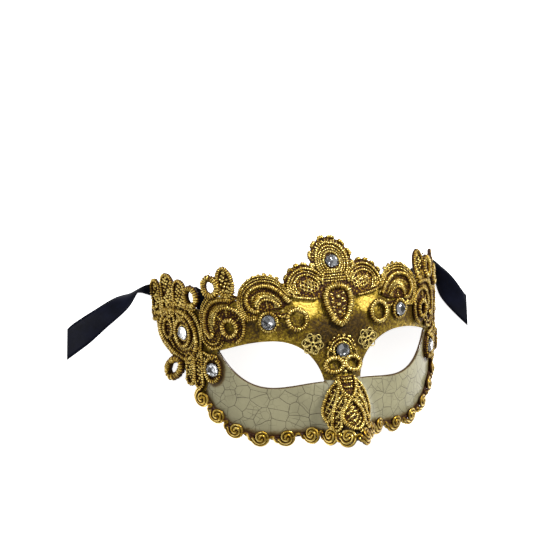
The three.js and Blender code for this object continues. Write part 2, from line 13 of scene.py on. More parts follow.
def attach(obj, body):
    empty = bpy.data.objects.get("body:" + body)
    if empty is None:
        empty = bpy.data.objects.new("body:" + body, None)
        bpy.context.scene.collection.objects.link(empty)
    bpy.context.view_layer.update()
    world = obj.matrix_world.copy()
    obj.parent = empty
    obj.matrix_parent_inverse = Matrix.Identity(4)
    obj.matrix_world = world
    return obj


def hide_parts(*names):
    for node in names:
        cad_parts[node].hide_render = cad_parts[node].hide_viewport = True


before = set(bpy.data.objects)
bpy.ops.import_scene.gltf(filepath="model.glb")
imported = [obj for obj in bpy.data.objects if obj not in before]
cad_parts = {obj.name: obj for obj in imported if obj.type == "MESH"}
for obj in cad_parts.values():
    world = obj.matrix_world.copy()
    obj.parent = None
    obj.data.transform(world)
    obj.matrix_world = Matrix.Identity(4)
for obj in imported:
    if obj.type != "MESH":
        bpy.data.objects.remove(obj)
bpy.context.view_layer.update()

bl_info = {
    "name": "Masquerade Half Mask",
    "version": (1, 0, 0),
    "blender": (4, 5, 0),
    "location": "3D View > Sidebar > Half Mask",
    "description": "Builds a gilded lace half mask with its ties, lying on a table",
    "category": "Object",
}

MM = 0.001
BODY = "root"


def number(name, description, default, **more):
    return FloatProperty(name=name, description=description, default=default, **more)


def length(name, description, default):
    return number(name, description, default, unit="LENGTH", precision=5)


def degrees(name, description, default):
    return number(name, description, math.radians(default), subtype="ANGLE")


def point(name, description, default):
    return FloatVectorProperty(name=name, description=description, default=default, size=3, unit="LENGTH")


def colour(name, description, default):
    return FloatVectorProperty(
        name=name, description=description, default=default, subtype="COLOR", size=3, min=0, max=1
    )


class FaceSizes(bpy.types.PropertyGroup):
    """The curved face that the mask is moulded to, and how it lies."""

    wrap_radius: length("Wrap radius", "Radius of the head's curve round the brow", 0.0805)
    side_start: length("Side start", "Distance round the head where the sides go straight", 0.1)
    depth_ratio: number("Depth ratio", "Depth of the head's curve over its width", 0.8)
    brow_lean: length("Brow lean", "How far the brow leans back over the bend span", 0.0192)
    brow_start: length("Brow start", "Height where the brow starts to lean", 0.005)
    cheek_tuck: length("Cheek tuck", "How far the cheeks tuck in over the bend span", 0.0038)
    cheek_start: length("Cheek start", "Height where the cheeks start to tuck in", -0.01)
    bend_span: length("Bend span", "Height over which brow and cheeks bend", 0.05)
    nose_rise: length("Nose rise", "How far the nose stands out at its full span", 0.0346)
    nose_top: length("Nose top", "Height where the nose starts", 0.002)
    nose_span: length("Nose span", "Height from the nose's top to its full rise", 0.058)
    nose_power: number("Nose power", "How the nose's rise gathers along it", 1.3)
    nose_width: length("Nose width", "Half width of the nose at its top", 0.01)
    nose_widening: length("Nose widening", "Gain of the nose's half width over its span", 0.005)
    tilt: degrees("Tilt", "How far the mask is tipped back", 19)
    height: length("Height", "Height of the bridge above the table", 0.063)
    shift: length("Shift", "Place of the bridge along Y", -0.00469)
    thickness: length("Thickness", "Wall of the moulded shell", 0.0018)


class LaceSizes(bpy.types.PropertyGroup):
    """The thread of the stiffened lace."""

    ridge_pitch: length("Ridge pitch", "Distance between the wraps of a cord", 0.00132)
    ridge_depth: number("Ridge depth", "Depth of the wraps as a share of the cord", 0.17)
    step: length("Step", "Distance between the rings of a swept cord", 0.00032)
    wander: length("Wander", "How far a thread strays from its line", 0.00022)
    sides: IntProperty(name="Sides", description="Sides of a swept cord", default=8, min=4, max=16)


class RibbonSizes(bpy.types.PropertyGroup):
    """The satin ties."""

    width: length("Width", "Width of the satin ribbon", 0.015)
    thickness: length("Thickness", "Thickness of the satin", 0.00045)


class MaskColours(bpy.types.PropertyGroup):
    """The colours of the mask's finishes."""

    # The gold stops paint light as well as wear and wax: bright gold is also the painted highlight on cord
    # tops, dark gold and umber also the painted shade on their lower sides, in their grooves and on the lace
    # ground.
    gold_bright: colour("Bright gold", "Gold where the leaf is rubbed clean", (1.0, 0.79, 0.25))
    gold_mid: colour("Gold", "Antique gold leaf", (0.40, 0.24, 0.018))
    gold_dark: colour("Dark gold", "Gold under brown wax", (0.11, 0.052, 0.006))
    umber: colour("Umber", "Wax left in the hollows", (0.034, 0.011, 0.003))
    leaf: colour("Leaf", "Gold leaf on the shell", (0.34, 0.23, 0.024))
    # Bright leaf: rubbed leaf, and also the painted highlight beside the crest.
    leaf_bright: colour("Bright leaf", "Gold leaf on the shell where it is rubbed", (0.98, 0.68, 0.13))
    leaf_brown: colour("Brown leaf", "Gold leaf on the shell where it is worn thin", (0.1, 0.056, 0.007))
    olive: colour("Olive", "Leaf darkened by age", (0.03, 0.017, 0.004))
    wash: colour("Wash", "Bronze wash inside the shell", (0.13, 0.085, 0.035))
    cream: colour("Cream", "Crackle glaze on the cheeks", (0.385, 0.357, 0.215))
    crack: colour("Crack", "Dirt in the cracks", (0.06, 0.046, 0.025))
    soil: colour("Soil", "Brown stain on the glaze", (0.17, 0.115, 0.04))
    soil_deep: colour("Deep soil", "The darkest of the stain", (0.055, 0.03, 0.008))
    satin: colour("Satin", "Near-black navy satin", (0.0010, 0.0014, 0.0048))
    wire: colour("Wire", "Tarnished filigree wire", (0.44, 0.32, 0.11))
    foil: colour("Foil", "Silvered cup under a stone", (0.92, 0.94, 0.96))


class StageSizes(bpy.types.PropertyGroup):
    """The table, the light and the camera."""

    camera_place: point("Camera place", "Where the camera stands", (-0.2988, -0.04165, 0.82269))
    camera_aim: point("Camera aim", "The point in the middle of the picture", (-0.01561, 0.05280, 0.0))
    camera_roll: degrees("Camera roll", "Roll about the line of sight", -7.43)
    camera_lens: number("Lens", "Focal length in millimetres on the sensor's width", 98.25)
    key_power: number("Key power", "Strength of the main soft light", 19.0, unit="POWER")
    fill_power: number("Fill power", "Strength of the fill light", 3.0, unit="POWER")
    sky: number("Sky", "Strength of the pale surroundings", 0.30)
    glow: number("Glow", "Light that the table top gives off", 0.85)


# The face.

def face_points(face, u, v):
    """Points of the bare face, upright, from flat distances u round the head and v up it, in metres."""
    side = np.abs(u)
    reach = np.minimum(side, face.side_start)
    beyond = side - reach
    turn = reach / face.wrap_radius
    end = face.side_start / face.wrap_radius
    speed = math.hypot(math.cos(end), face.depth_ratio * math.sin(end))
    out = beyond * math.cos(end) / speed
    down = beyond * face.depth_ratio * math.sin(end) / speed
    fade = np.cos(turn)
    brow = np.maximum(v - face.brow_start, 0) / face.bend_span
    cheek = np.maximum(face.cheek_start - v, 0) / face.bend_span
    along = np.clip((face.nose_top - v) / face.nose_span, 0, 1.2)
    width = face.nose_width + face.nose_widening * along
    nose = face.nose_rise * along ** face.nose_power * np.exp(-((u / width) ** 2))
    depth = face.depth_ratio * face.wrap_radius * (1 - fade) + down
    z = nose - depth - fade * (face.brow_lean * brow ** 2 + face.cheek_tuck * cheek ** 2)
    x = np.sign(u) * (face.wrap_radius * np.sin(turn) + out)
    return np.stack([x, v + 0 * x, z], -1)


NORMAL_STEP = 0.05 * MM


def face_normals(face, u, v):
    across = face_points(face, u + NORMAL_STEP, v) - face_points(face, u - NORMAL_STEP, v)
    up = face_points(face, u, v + NORMAL_STEP) - face_points(face, u, v - NORMAL_STEP)
    normal = np.cross(across, up)
    return normal / np.linalg.norm(normal, axis=-1, keepdims=True)


def tipped(face, vectors):
    """Turns upright vectors to the way the mask lies."""
    c, s = math.cos(face.tilt), math.sin(face.tilt)
    x, y, z = vectors[..., 0], vectors[..., 1], vectors[..., 2]
    return np.stack([x, y * c - z * s, y * s + z * c], -1)


def on_face(face, flat):
    """Places and outward directions on the lying mask, from rows of u, v and height in millimetres."""
    flat = np.asarray(flat, float)
    u, v, h = (flat[..., k] * MM for k in range(3))
    normals = face_normals(face, u, v)
    points = tipped(face, face_points(face, u, v) + normals * h[..., None])
    return points + np.array([0, face.shift, face.height]), tipped(face, normals)


# Flat outlines and paths, in millimetres of u and v.

def unit(rows):
    """Rows of the same direction, each one long, or nearly nothing where there is none."""
    return rows / np.maximum(np.linalg.norm(rows, axis=1, keepdims=True), 1e-9)


def run_along(line):
    """The distance of each point of a line from its start."""
    return np.concatenate([[0], np.cumsum(np.linalg.norm(np.diff(line, axis=0), axis=1))])


def arc(cu, cv, ru, rv=None, start=0.0, end=360.0, turn=0.0, step=0.5):
    rv = ru if rv is None else rv
    count = max(6, int(abs(math.radians(end - start)) * max(ru, rv) / step))
    angle = np.radians(np.linspace(start, end, count + 1))
    x, y = ru * np.cos(angle), rv * np.sin(angle)
    c, s = math.cos(math.radians(turn)), math.sin(math.radians(turn))
    return np.stack([cu + x * c - y * s, cv + x * s + y * c], -1)


def loop(cu, cv, ru, rv=None, turn=0.0, step=0.5):
    return arc(cu, cv, ru, rv, 0, 360, turn, step)[:-1]


def spline(points, step=0.5, closed=False):
    """A smooth curve through points of any dimension, sampled about a step apart."""
    points = np.asarray(points, float)
    if closed:
        padded = np.concatenate([points[-1:], points, points[:2]])
    else:
        padded = np.concatenate([points[:1], points, points[-1:]])
    rows = []
    for a, b, c, d in zip(padded[:-3], padded[1:-2], padded[2:-1], padded[3:]):
        count = max(1, int(np.ceil(np.linalg.norm((c - b)[:3]) / step)))
        t = np.arange(count)[:, None] / count
        rows.append(0.5 * (2 * b + (c - a) * t + (2 * a - 5 * b + 4 * c - d) * t ** 2
                           + (3 * b - 3 * c + d - a) * t ** 3))
    if not closed:
        rows.append(points[-1:])
    return np.concatenate(rows)


def capsule(u0, v0, u1, v1, radius):
    heading = math.degrees(math.atan2(v1 - v0, u1 - u0))
    return np.concatenate([arc(u1, v1, radius, None, heading - 90, heading + 90),
                           arc(u0, v0, radius, None, heading + 90, heading + 270)])


def leaf(u0, v0, u1, v1, width):
    start, end = np.array([u0, v0]), np.array([u1, v1])
    side = np.array([v0 - v1, u1 - u0])
    side = side / np.linalg.norm(side) * width / 2
    ends = [start, start + (end - start) * 0.3 + side * 0.8, start + (end - start) * 0.6 + side, end]
    back = [start + (end - start) * 0.6 - side, start + (end - start) * 0.3 - side * 0.8]
    return spline(ends + back, closed=True)


def scalloped(cu, cv, radius, count, bulge, start, end):
    """An edge of little half-round loops standing on a circle."""
    rows = []
    for k in range(count):
        middle = math.radians(start + (end - start) * (k + 0.5) / count)
        at = (cu + radius * math.cos(middle), cv + radius * math.sin(middle))
        half = radius * abs(math.radians(end - start)) / count / 2
        facing = math.degrees(middle)
        way = 1 if end > start else -1
        rows.append(arc(*at, bulge, half, -90 * way, 90 * way, facing))
    return np.concatenate(rows)


def mirrored(points):
    return points * np.array([-1.0] + [1.0] * (points.shape[1] - 1))


def lifted(path, height):
    """Adds a height, or a row of heights, to a flat path."""
    return np.column_stack([path, np.broadcast_to(height, len(path))])


def both_halves(right):
    """A closed line from its right half, which starts and ends in the middle."""
    return np.concatenate([right, mirrored(right[1:-1])[::-1]])


def finely(points, step, closed=False, least=6):
    """The same line with points a step apart, and not fewer than the least."""
    line = np.concatenate([points, points[:1]]) if closed else points
    run = run_along(line)
    count = max(least, int(run[-1] / step))
    at = np.linspace(0, run[-1], count + (not closed), endpoint=not closed)
    return np.stack([np.interp(at, run, line[:, k]) for k in range(line.shape[1])], -1)


def chained(first, count, closed=True):
    """Edges that join a run of points, numbered from the first."""
    ring = np.arange(first, first + count)
    return list(zip(ring.tolist(), np.roll(ring, -1).tolist()))[:count if closed else -1]


def sdf(points, outline):
    """Signed distance of points to a closed outline, negative inside."""
    a = np.asarray(outline)
    b = np.roll(a, -1, axis=0)
    best = np.full(len(points), np.inf)
    inside = np.zeros(len(points), bool)
    for p, q in zip(a, b):
        edge = q - p
        rel = points - p
        t = np.clip(rel @ edge / max(edge @ edge, 1e-12), 0, 1)
        away = rel - t[:, None] * edge
        best = np.minimum(best, (away ** 2).sum(1))
        crosses = (p[1] > points[:, 1]) != (q[1] > points[:, 1])
        with np.errstate(divide="ignore", invalid="ignore"):
            at = p[0] + (points[:, 1] - p[1]) * edge[0] / edge[1]
        inside ^= crosses & (points[:, 0] < at)
    return np.where(inside, -1, 1) * np.sqrt(best)


SLOPE_STEP = 0.02
NEARLY_NONE = 1e-7


class Region:
    """A flat area: the sum of some outlines less some holes."""

    def __init__(self, outlines, holes=()):
        self.outlines = outlines
        self.holes = holes

    def __call__(self, points):
        value = np.min([sdf(points, o) for o in self.outlines], axis=0)
        for gap in self.holes:
            value = np.maximum(value, -sdf(points, gap))
        return value

    def slope(self, points):
        return unit(np.stack([self(points + d) - self(points - d) for d in SLOPE_STEP * np.eye(2)], -1))

    def edges(self, spacing):
        """The closed edge lines, as lists of points about a spacing apart.

        They are followed through a grid of half that spacing, from one cut side of a cell to the next."""
        outline = np.concatenate(self.outlines)
        low = outline.min(0) - 2 * spacing
        counts = np.ceil((outline.max(0) + 2 * spacing - low) / (spacing / 2)).astype(int) + 1
        us = low[0] + np.arange(counts[0]) * spacing / 2
        vs = low[1] + np.arange(counts[1]) * spacing / 2
        grid = np.stack(np.meshgrid(us, vs, indexing="ij"), -1)
        value = self(grid.reshape(-1, 2)).reshape(grid.shape[:2]) + NEARLY_NONE
        links = {}
        corners = [(0, 0), (1, 0), (1, 1), (0, 1)]
        mixed = np.zeros((counts[0] - 1, counts[1] - 1), int)
        for k, (i, j) in enumerate(corners):
            mixed |= (value[i:counts[0] - 1 + i, j:counts[1] - 1 + j] < 0).astype(int) << k
        for i, j in zip(*np.where((mixed > 0) & (mixed < 15))):
            cuts = []
            for k in range(4):
                a = (i + corners[k][0], j + corners[k][1])
                b = (i + corners[(k + 1) % 4][0], j + corners[(k + 1) % 4][1])
                if (value[a] < 0) != (value[b] < 0):
                    cuts.append((min(a, b), max(a, b)))
            for a, b in zip(cuts[::2], cuts[1::2]):
                links.setdefault(a, []).append(b)
                links.setdefault(b, []).append(a)
        lines = []
        while links:
            chain, before = [next(iter(links))], None
            while True:
                one, other = links[chain[-1]][:2]
                onward = other if one == before else one
                before = chain[-1]
                if onward == chain[0]:
                    break
                chain.append(onward)
            for key in chain:
                del links[key]
            if len(chain) > 5:
                spots = []
                for a, b in chain:
                    share = value[a] / (value[a] - value[b])
                    spots.append(grid[a] * (1 - share) + grid[b] * share)
                lines.append(self.evened(np.array(spots), spacing))
        return lines

    def evened(self, spots, spacing):
        """The same closed line with even points, drawn onto the region's true edge."""
        line = finely(spots, spacing, True, 8)
        for _ in range(2):
            line = line - self.slope(line) * self(line)[:, None]
        return line


# Shares of the rim's radius: its rings of points, and how far a point may be off its ring.
RIM_TURNS = (0.18, 0.55, 1.0)
RIM_SLACK = 0.35
# Shares of a sheet's spacing: points along its edge, the bare strip beside the rim, and rows of the grid.
EDGE_SPACING = 0.6
GRID_CLEAR = 0.45
ROW_RISE = math.sqrt(0.75)


def sheet_mesh(region, spacing, bottom, top):
    """A closed sheet over a region between two heights in millimetres, with a rounded rim.

    Returns flat rows with heights, faces, and a mark on the rows of the under side."""
    rim = (top - bottom) / 2
    lines = region.edges(spacing * EDGE_SPACING)
    edges = []
    first = 0
    for line in lines:
        edges += chained(first, len(line))
        first += len(line)
    outer = np.concatenate(lines)
    points = [outer]
    inward = -region.slope(outer)
    for share in RIM_TURNS:
        ring = outer + inward * rim * share
        points.append(ring[np.abs(region(ring) + rim * share) < RIM_SLACK * rim * share])
    low, high = outer.min(0), outer.max(0)
    grid = []
    for k, v in enumerate(np.arange(low[1], high[1], spacing * ROW_RISE)):
        us = np.arange(low[0] + (k % 2) * spacing / 2, high[0], spacing)
        grid.append(np.column_stack([us, np.full(len(us), v)]))
    grid = np.concatenate(grid)
    points.append(grid[region(grid) < -(rim + GRID_CLEAR * spacing)])
    found = delaunay_2d_cdt([Vector(p) for p in np.concatenate(points).tolist()], edges, [], 0, 1e-6)
    spots = np.array([tuple(p) for p in found[0]])
    faces = np.array([f for f in found[2] if len(f) == 3])
    faces = faces[region(spots[faces].mean(1)) < 0]
    a, b, c = (spots[faces[:, k]] for k in range(3))
    area = (b - a)[:, 0] * (c - a)[:, 1] - (b - a)[:, 1] * (c - a)[:, 0]
    faces[area < 0] = faces[area < 0][:, ::-1]
    faces = faces[np.abs(area) > NEARLY_NONE]
    used = np.unique(faces)
    renumber = np.full(len(spots), -1)
    renumber[used] = np.arange(len(used))
    spots, faces = spots[used], renumber[faces]
    sides = np.sort(np.concatenate([faces[:, [0, 1]], faces[:, [1, 2]], faces[:, [2, 0]]]), axis=1)
    pairs, counts = np.unique(sides, axis=0, return_counts=True)
    on_border = np.zeros(len(spots), bool)
    on_border[pairs[counts == 1].ravel()] = True
    depth = np.where(on_border, 0, np.clip(-region(spots), 0, rim))
    curl = rim - np.sqrt(np.maximum(rim ** 2 - (rim - depth) ** 2, 0))
    inner = np.where(~on_border)[0]
    below = np.arange(len(spots))
    below[inner] = len(spots) + np.arange(len(inner))
    rows = np.concatenate([lifted(spots, top - curl), lifted(spots[inner], bottom + curl[inner])])
    under = np.concatenate([np.zeros(len(spots)), np.ones(len(inner))])
    return rows, np.concatenate([faces, below[faces[:, ::-1]]]), under


# Meshes and objects.

def linked(name, data):
    """A new object in the scene."""
    made = bpy.data.objects.new(name, data)
    bpy.context.scene.collection.objects.link(made)
    return made


def mesh_object(name, points, faces, material, smooth=True):
    mesh = bpy.data.meshes.new(name)
    mesh.from_pydata(np.asarray(points).tolist(), [], [list(map(int, f)) for f in faces])
    mesh.validate()
    mesh.materials.append(material)
    mesh.polygons.foreach_set("use_smooth", [smooth] * len(mesh.polygons))
    return linked(name, mesh)


def set_float(mesh, name, values):
    attribute = mesh.attributes.get(name) or mesh.attributes.new(name, "FLOAT", "POINT")
    attribute.data.foreach_set("value", np.asarray(values, np.float32))


def set_flat_map(mesh, flat):
    """Gives a mesh a UV map of its flat u and v, in metres."""
    layer = mesh.uv_layers.new(name="flat")
    corners = np.empty(len(mesh.loops), int)
    mesh.loops.foreach_get("vertex_index", corners)
    layer.data.foreach_set("uv", (flat[corners, :2] * MM).astype(np.float32).ravel())


def joined(name, objects):
    """Joins meshes into the first one, under a new name."""
    keep = objects[0]
    if len(objects) > 1:
        with bpy.context.temp_override(active_object=keep, selected_editable_objects=objects):
            bpy.ops.object.join()
    keep.name = name
    keep.data.name = name
    return keep


def twin(piece, name):
    """A mirror image of a piece across the middle of the mask."""
    mesh = piece.data.copy()
    mesh.transform(Matrix.Scale(-1, 4, Vector((1, 0, 0))))
    mesh.flip_normals()
    made = linked(name, mesh)
    mesh.name = name
    return made


def hand_over(piece, slot, *nodes):
    """Fixes a finished piece to the mask and hides the nodes that it stands for."""
    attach(piece, BODY)
    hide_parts(*nodes)
    return piece


def above_table(piece):
    """Flattens the little that would reach under the table's top."""
    for vertex in piece.data.vertices:
        vertex.co.z = max(vertex.co.z, 0.0)


# Thread laid over the face and swept into cords.

THREAD_STEP = 0.25
PLAIN = {"pitch": 9.0, "depth": 0.0}
BEAD_DEPTH = 0.34


class Threadwork:
    """Runs of cord and thread over the face, or along points already in place."""

    def __init__(self, sizes):
        self.sizes = sizes
        self.runs = []

    def lay(self, path, height, radius, closed=False, pitch=None, depth=None):
        """Lays a cord along a flat path. A closed one has no ends; pitch and depth set its wraps."""
        points = lifted(np.asarray(path, float), height)
        pitch = self.sizes.ridge_pitch / MM if pitch is None else pitch
        depth = self.sizes.ridge_depth if depth is None else depth
        self.runs.append((finely(points, THREAD_STEP, closed), None, radius, closed, pitch, depth))

    def curve(self, points, height, radius, closed=False, **wraps):
        """Lays a cord along a smooth curve through flat points."""
        self.lay(spline(points, closed=closed), height, radius, closed, **wraps)

    def beaded(self, path, height, radius, spacing=1.3, closed=False):
        """Lays a row of small knots, a spacing apart."""
        self.lay(path, height, radius, closed, spacing, BEAD_DEPTH)

    def beads(self, points, height, radius):
        """Lays a row of small knots along a smooth curve through flat points."""
        self.beaded(spline(points), height, radius)

    def knot(self, u, v, height, radius, across=1.0):
        """One knot, a short fat cord that lies across."""
        half = 0.9 * radius * across
        self.lay([(u - half, v), (u, v), (u + half, v)], height, radius, **PLAIN)

    def lay_placed(self, points, outs, radius, closed=False):
        self.runs.append((points, outs, radius, closed, PLAIN["pitch"], PLAIN["depth"]))

    def placed(self, face):
        """The runs in place, as points, edges and the values that the sweep reads."""
        rows, edges = [], []
        first = 0
        for flat, outs, radius, closed, pitch, depth in self.runs:
            spots, outs = on_face(face, flat) if outs is None else (flat, outs)
            size = np.full(len(flat), radius * MM)
            if not closed:
                run = run_along(spots)
                end = np.clip(np.minimum(run, run[-1] - run) / (radius * MM), 0, 1)
                size *= np.sqrt(np.clip(1 - (1 - end) ** 2, 0.03, 1))
            values = np.broadcast_to([pitch * MM, depth], (len(flat), 2))
            rows.append(np.column_stack([spots, outs, size, values]))
            edges += chained(first, len(flat), closed)
            first += len(flat)
        return np.concatenate(rows), edges

    def swept(self, name, face, material, lumps=0.8):
        """A plain mesh of every run, made by the sweep's node tree."""
        rows, edges = self.placed(face)
        mesh = bpy.data.meshes.new(name)
        mesh.from_pydata(rows[:, :3].tolist(), edges, [])
        vectors = mesh.attributes.new("outward", "FLOAT_VECTOR", "POINT")
        vectors.data.foreach_set("vector", rows[:, 3:6].astype(np.float32).ravel())
        for column, label in enumerate(CORD_VALUES, 6):
            set_float(mesh, label, rows[:, column])
        return grown(linked(name, mesh), cord_tree(), {
            "Step": self.sizes.step, "Sides": self.sizes.sides, "Wander": self.sizes.wander * lumps,
            "Lumps": lumps, "Material": material,
        })


CORD_VALUES = ("cord_radius", "cord_pitch", "cord_depth")


class Weave:
    """Builds a Geometry Nodes tree from nodes and their links."""

    def __init__(self, name, **inputs):
        self.tree = bpy.data.node_groups.new(name, "GeometryNodeTree")
        interface = self.tree.interface
        for label, kind in {"Geometry": "Geometry", **inputs}.items():
            interface.new_socket(label, in_out="INPUT", socket_type="NodeSocket" + kind)
        interface.new_socket("Geometry", in_out="OUTPUT", socket_type="NodeSocketGeometry")
        self.inputs = self.tree.nodes.new("NodeGroupInput").outputs

    def add(self, kind, inputs=None, **settings):
        node = self.tree.nodes.new(kind)
        for key, value in settings.items():
            setattr(node, key, value)
        for key, value in (inputs or {}).items():
            if isinstance(value, bpy.types.NodeSocket):
                self.tree.links.new(value, node.inputs[key])
            else:
                node.inputs[key].default_value = value
        return node.outputs

    def maths(self, operation, a, b=0.0, c=0.0):
        return self.add("ShaderNodeMath", {0: a, 1: b, 2: c}, operation=operation)[0]

    def vectors(self, operation, inputs, output=0):
        return self.add("ShaderNodeVectorMath", inputs, operation=operation)[output]

    def here(self):
        return self.add("GeometryNodeInputPosition")[0]

    def noise(self, size, output):
        inputs = {"Vector": self.here(), "Scale": 1 / size, "Detail": 1.0}
        return self.add("ShaderNodeTexNoise", inputs)[output]

    def value(self, name, kind="FLOAT"):
        return self.add("GeometryNodeInputNamedAttribute", {"Name": name}, data_type=kind)["Attribute"]

    def store(self, geometry, name, value, kind="FLOAT"):
        inputs = {"Geometry": geometry, "Name": name, "Value": value}
        return self.add("GeometryNodeStoreNamedAttribute", inputs, data_type=kind, domain="POINT")["Geometry"]

    def finish(self, geometry, material):
        real = self.add("GeometryNodeRealizeInstances", {"Geometry": geometry})["Geometry"]
        last = self.add("GeometryNodeSetMaterial", {"Geometry": real, "Material": material})["Geometry"]
        self.tree.links.new(last, self.tree.nodes.new("NodeGroupOutput").inputs[0])
        return self.tree


STRAY_SIZE = 0.0022
LUMP_SIZE = 0.0012


def cord_tree():
    """The sweep: a polyline becomes a round cord with the ridges of wrapped thread."""
    known = bpy.data.node_groups.get("Wrapped cord")
    if known:
        return known
    w = Weave("Wrapped cord", Step="Float", Sides="Int", Wander="Float", Lumps="Float", Material="Material")
    curve = w.add("GeometryNodeMeshToCurve", {"Mesh": w.inputs["Geometry"]})["Curve"]
    curve = w.add("GeometryNodeResampleCurve", {"Curve": curve, "Length": w.inputs["Step"]},
                  mode="LENGTH")["Curve"]
    stray = w.vectors("SUBTRACT", {0: w.noise(STRAY_SIZE, "Color"), 1: (0.5, 0.5, 0.5)})
    stray = w.vectors("SCALE", {0: stray, "Scale": w.maths("MULTIPLY", w.inputs["Wander"], 4.0)})
    curve = w.add("GeometryNodeSetPosition", {"Geometry": curve, "Offset": stray})["Geometry"]
    lumps = w.maths("SUBTRACT", w.noise(LUMP_SIZE, 0), 0.5)
    lumps = w.maths("MULTIPLY_ADD", lumps, w.inputs["Lumps"], 1.0)
    run = w.add("GeometryNodeSplineParameter")["Length"]
    turns = w.maths("DIVIDE", run, w.value("cord_pitch"))
    wave = w.maths("COSINE", w.maths("MULTIPLY", turns, 2 * math.pi))
    ridge = w.maths("POWER", w.maths("MULTIPLY_ADD", wave, 0.5, 0.5), 0.6)
    swell = w.maths("MULTIPLY_ADD", w.maths("MULTIPLY_ADD", ridge, 2.0, -1.2), w.value("cord_depth"), 1.0)
    size = w.maths("MULTIPLY", w.maths("MULTIPLY", swell, lumps), w.value("cord_radius"))
    curve = w.store(curve, "ridge", ridge)
    curve = w.store(curve, "spine", w.here(), "FLOAT_VECTOR")
    profile = w.add("GeometryNodeCurvePrimitiveCircle",
                    {"Resolution": w.inputs["Sides"], "Radius": 1.0})["Curve"]
    mesh = w.add("GeometryNodeCurveToMesh",
                 {"Curve": curve, "Profile Curve": profile, "Scale": size, "Fill Caps": True})["Mesh"]
    side = w.vectors("SUBTRACT", {0: w.here(), 1: w.value("spine", "FLOAT_VECTOR")})
    side = w.vectors("NORMALIZE", {0: side})
    up = w.vectors("DOT_PRODUCT", {0: side, 1: w.value("outward", "FLOAT_VECTOR")}, "Value")
    mesh = w.store(mesh, "crown", w.maths("ADD", w.maths("MULTIPLY", up, 0.5), 0.5))
    mesh = w.add("GeometryNodeSetShadeSmooth", {"Geometry": mesh})["Geometry"]
    return w.finish(mesh, w.inputs["Material"])


def grown(base, tree, values):
    """Runs a node tree on an object and returns its result as a plain mesh in its place."""
    modifier = base.modifiers.new(tree.name, "NODES")
    modifier.node_group = tree
    for item in tree.interface.items_tree:
        if item.item_type == "SOCKET" and item.in_out == "INPUT" and item.name in values:
            modifier[item.identifier] = values[item.name]
    bpy.context.view_layer.update()
    evaluated = base.evaluated_get(bpy.context.evaluated_depsgraph_get())
    mesh = bpy.data.meshes.new_from_object(evaluated)
    old = base.data
    base.modifiers.remove(modifier)
    base.data = mesh
    bpy.data.meshes.remove(old)
    for extra in (*CORD_VALUES, "outward", "spine"):
        attribute = mesh.attributes.get(extra)
        if attribute:
            mesh.attributes.remove(attribute)
    return base


# Materials.

class Wire:
    """One socket of a material's tree, with arithmetic."""

    def __init__(self, finish, socket):
        self.finish = finish
        self.socket = socket

    def maths(self, operation, *others, clamp=False):
        values = dict(enumerate([self, *others]))
        return self.finish.add("ShaderNodeMath", values, operation=operation, use_clamp=clamp)

    __add__ = __radd__ = partialmethod(maths, "ADD")
    __mul__ = partialmethod(maths, "MULTIPLY")
    __sub__ = partialmethod(maths, "SUBTRACT")
    __pow__ = partialmethod(maths, "POWER")
    most = partialmethod(maths, "MAXIMUM")
    clipped = partialmethod(maths, "ADD", 0.0, clamp=True)

    def __rsub__(self, other):
        return self.finish.add("ShaderNodeMath", {0: other, 1: self}, operation="SUBTRACT")

    def between(self, low, high):
        """Smoothly 0 below low and 1 above high."""
        values = {"Value": self, "From Min": low, "From Max": high, "To Min": 0.0, "To Max": 1.0}
        return self.finish.add("ShaderNodeMapRange", values, interpolation_type="SMOOTHSTEP")


def rgba(shade):
    """A socket as it is, or a colour with its fourth value."""
    return shade if isinstance(shade, Wire) else (*shade, 1.0)


def dimmed(shade, share):
    return [share * x for x in shade]


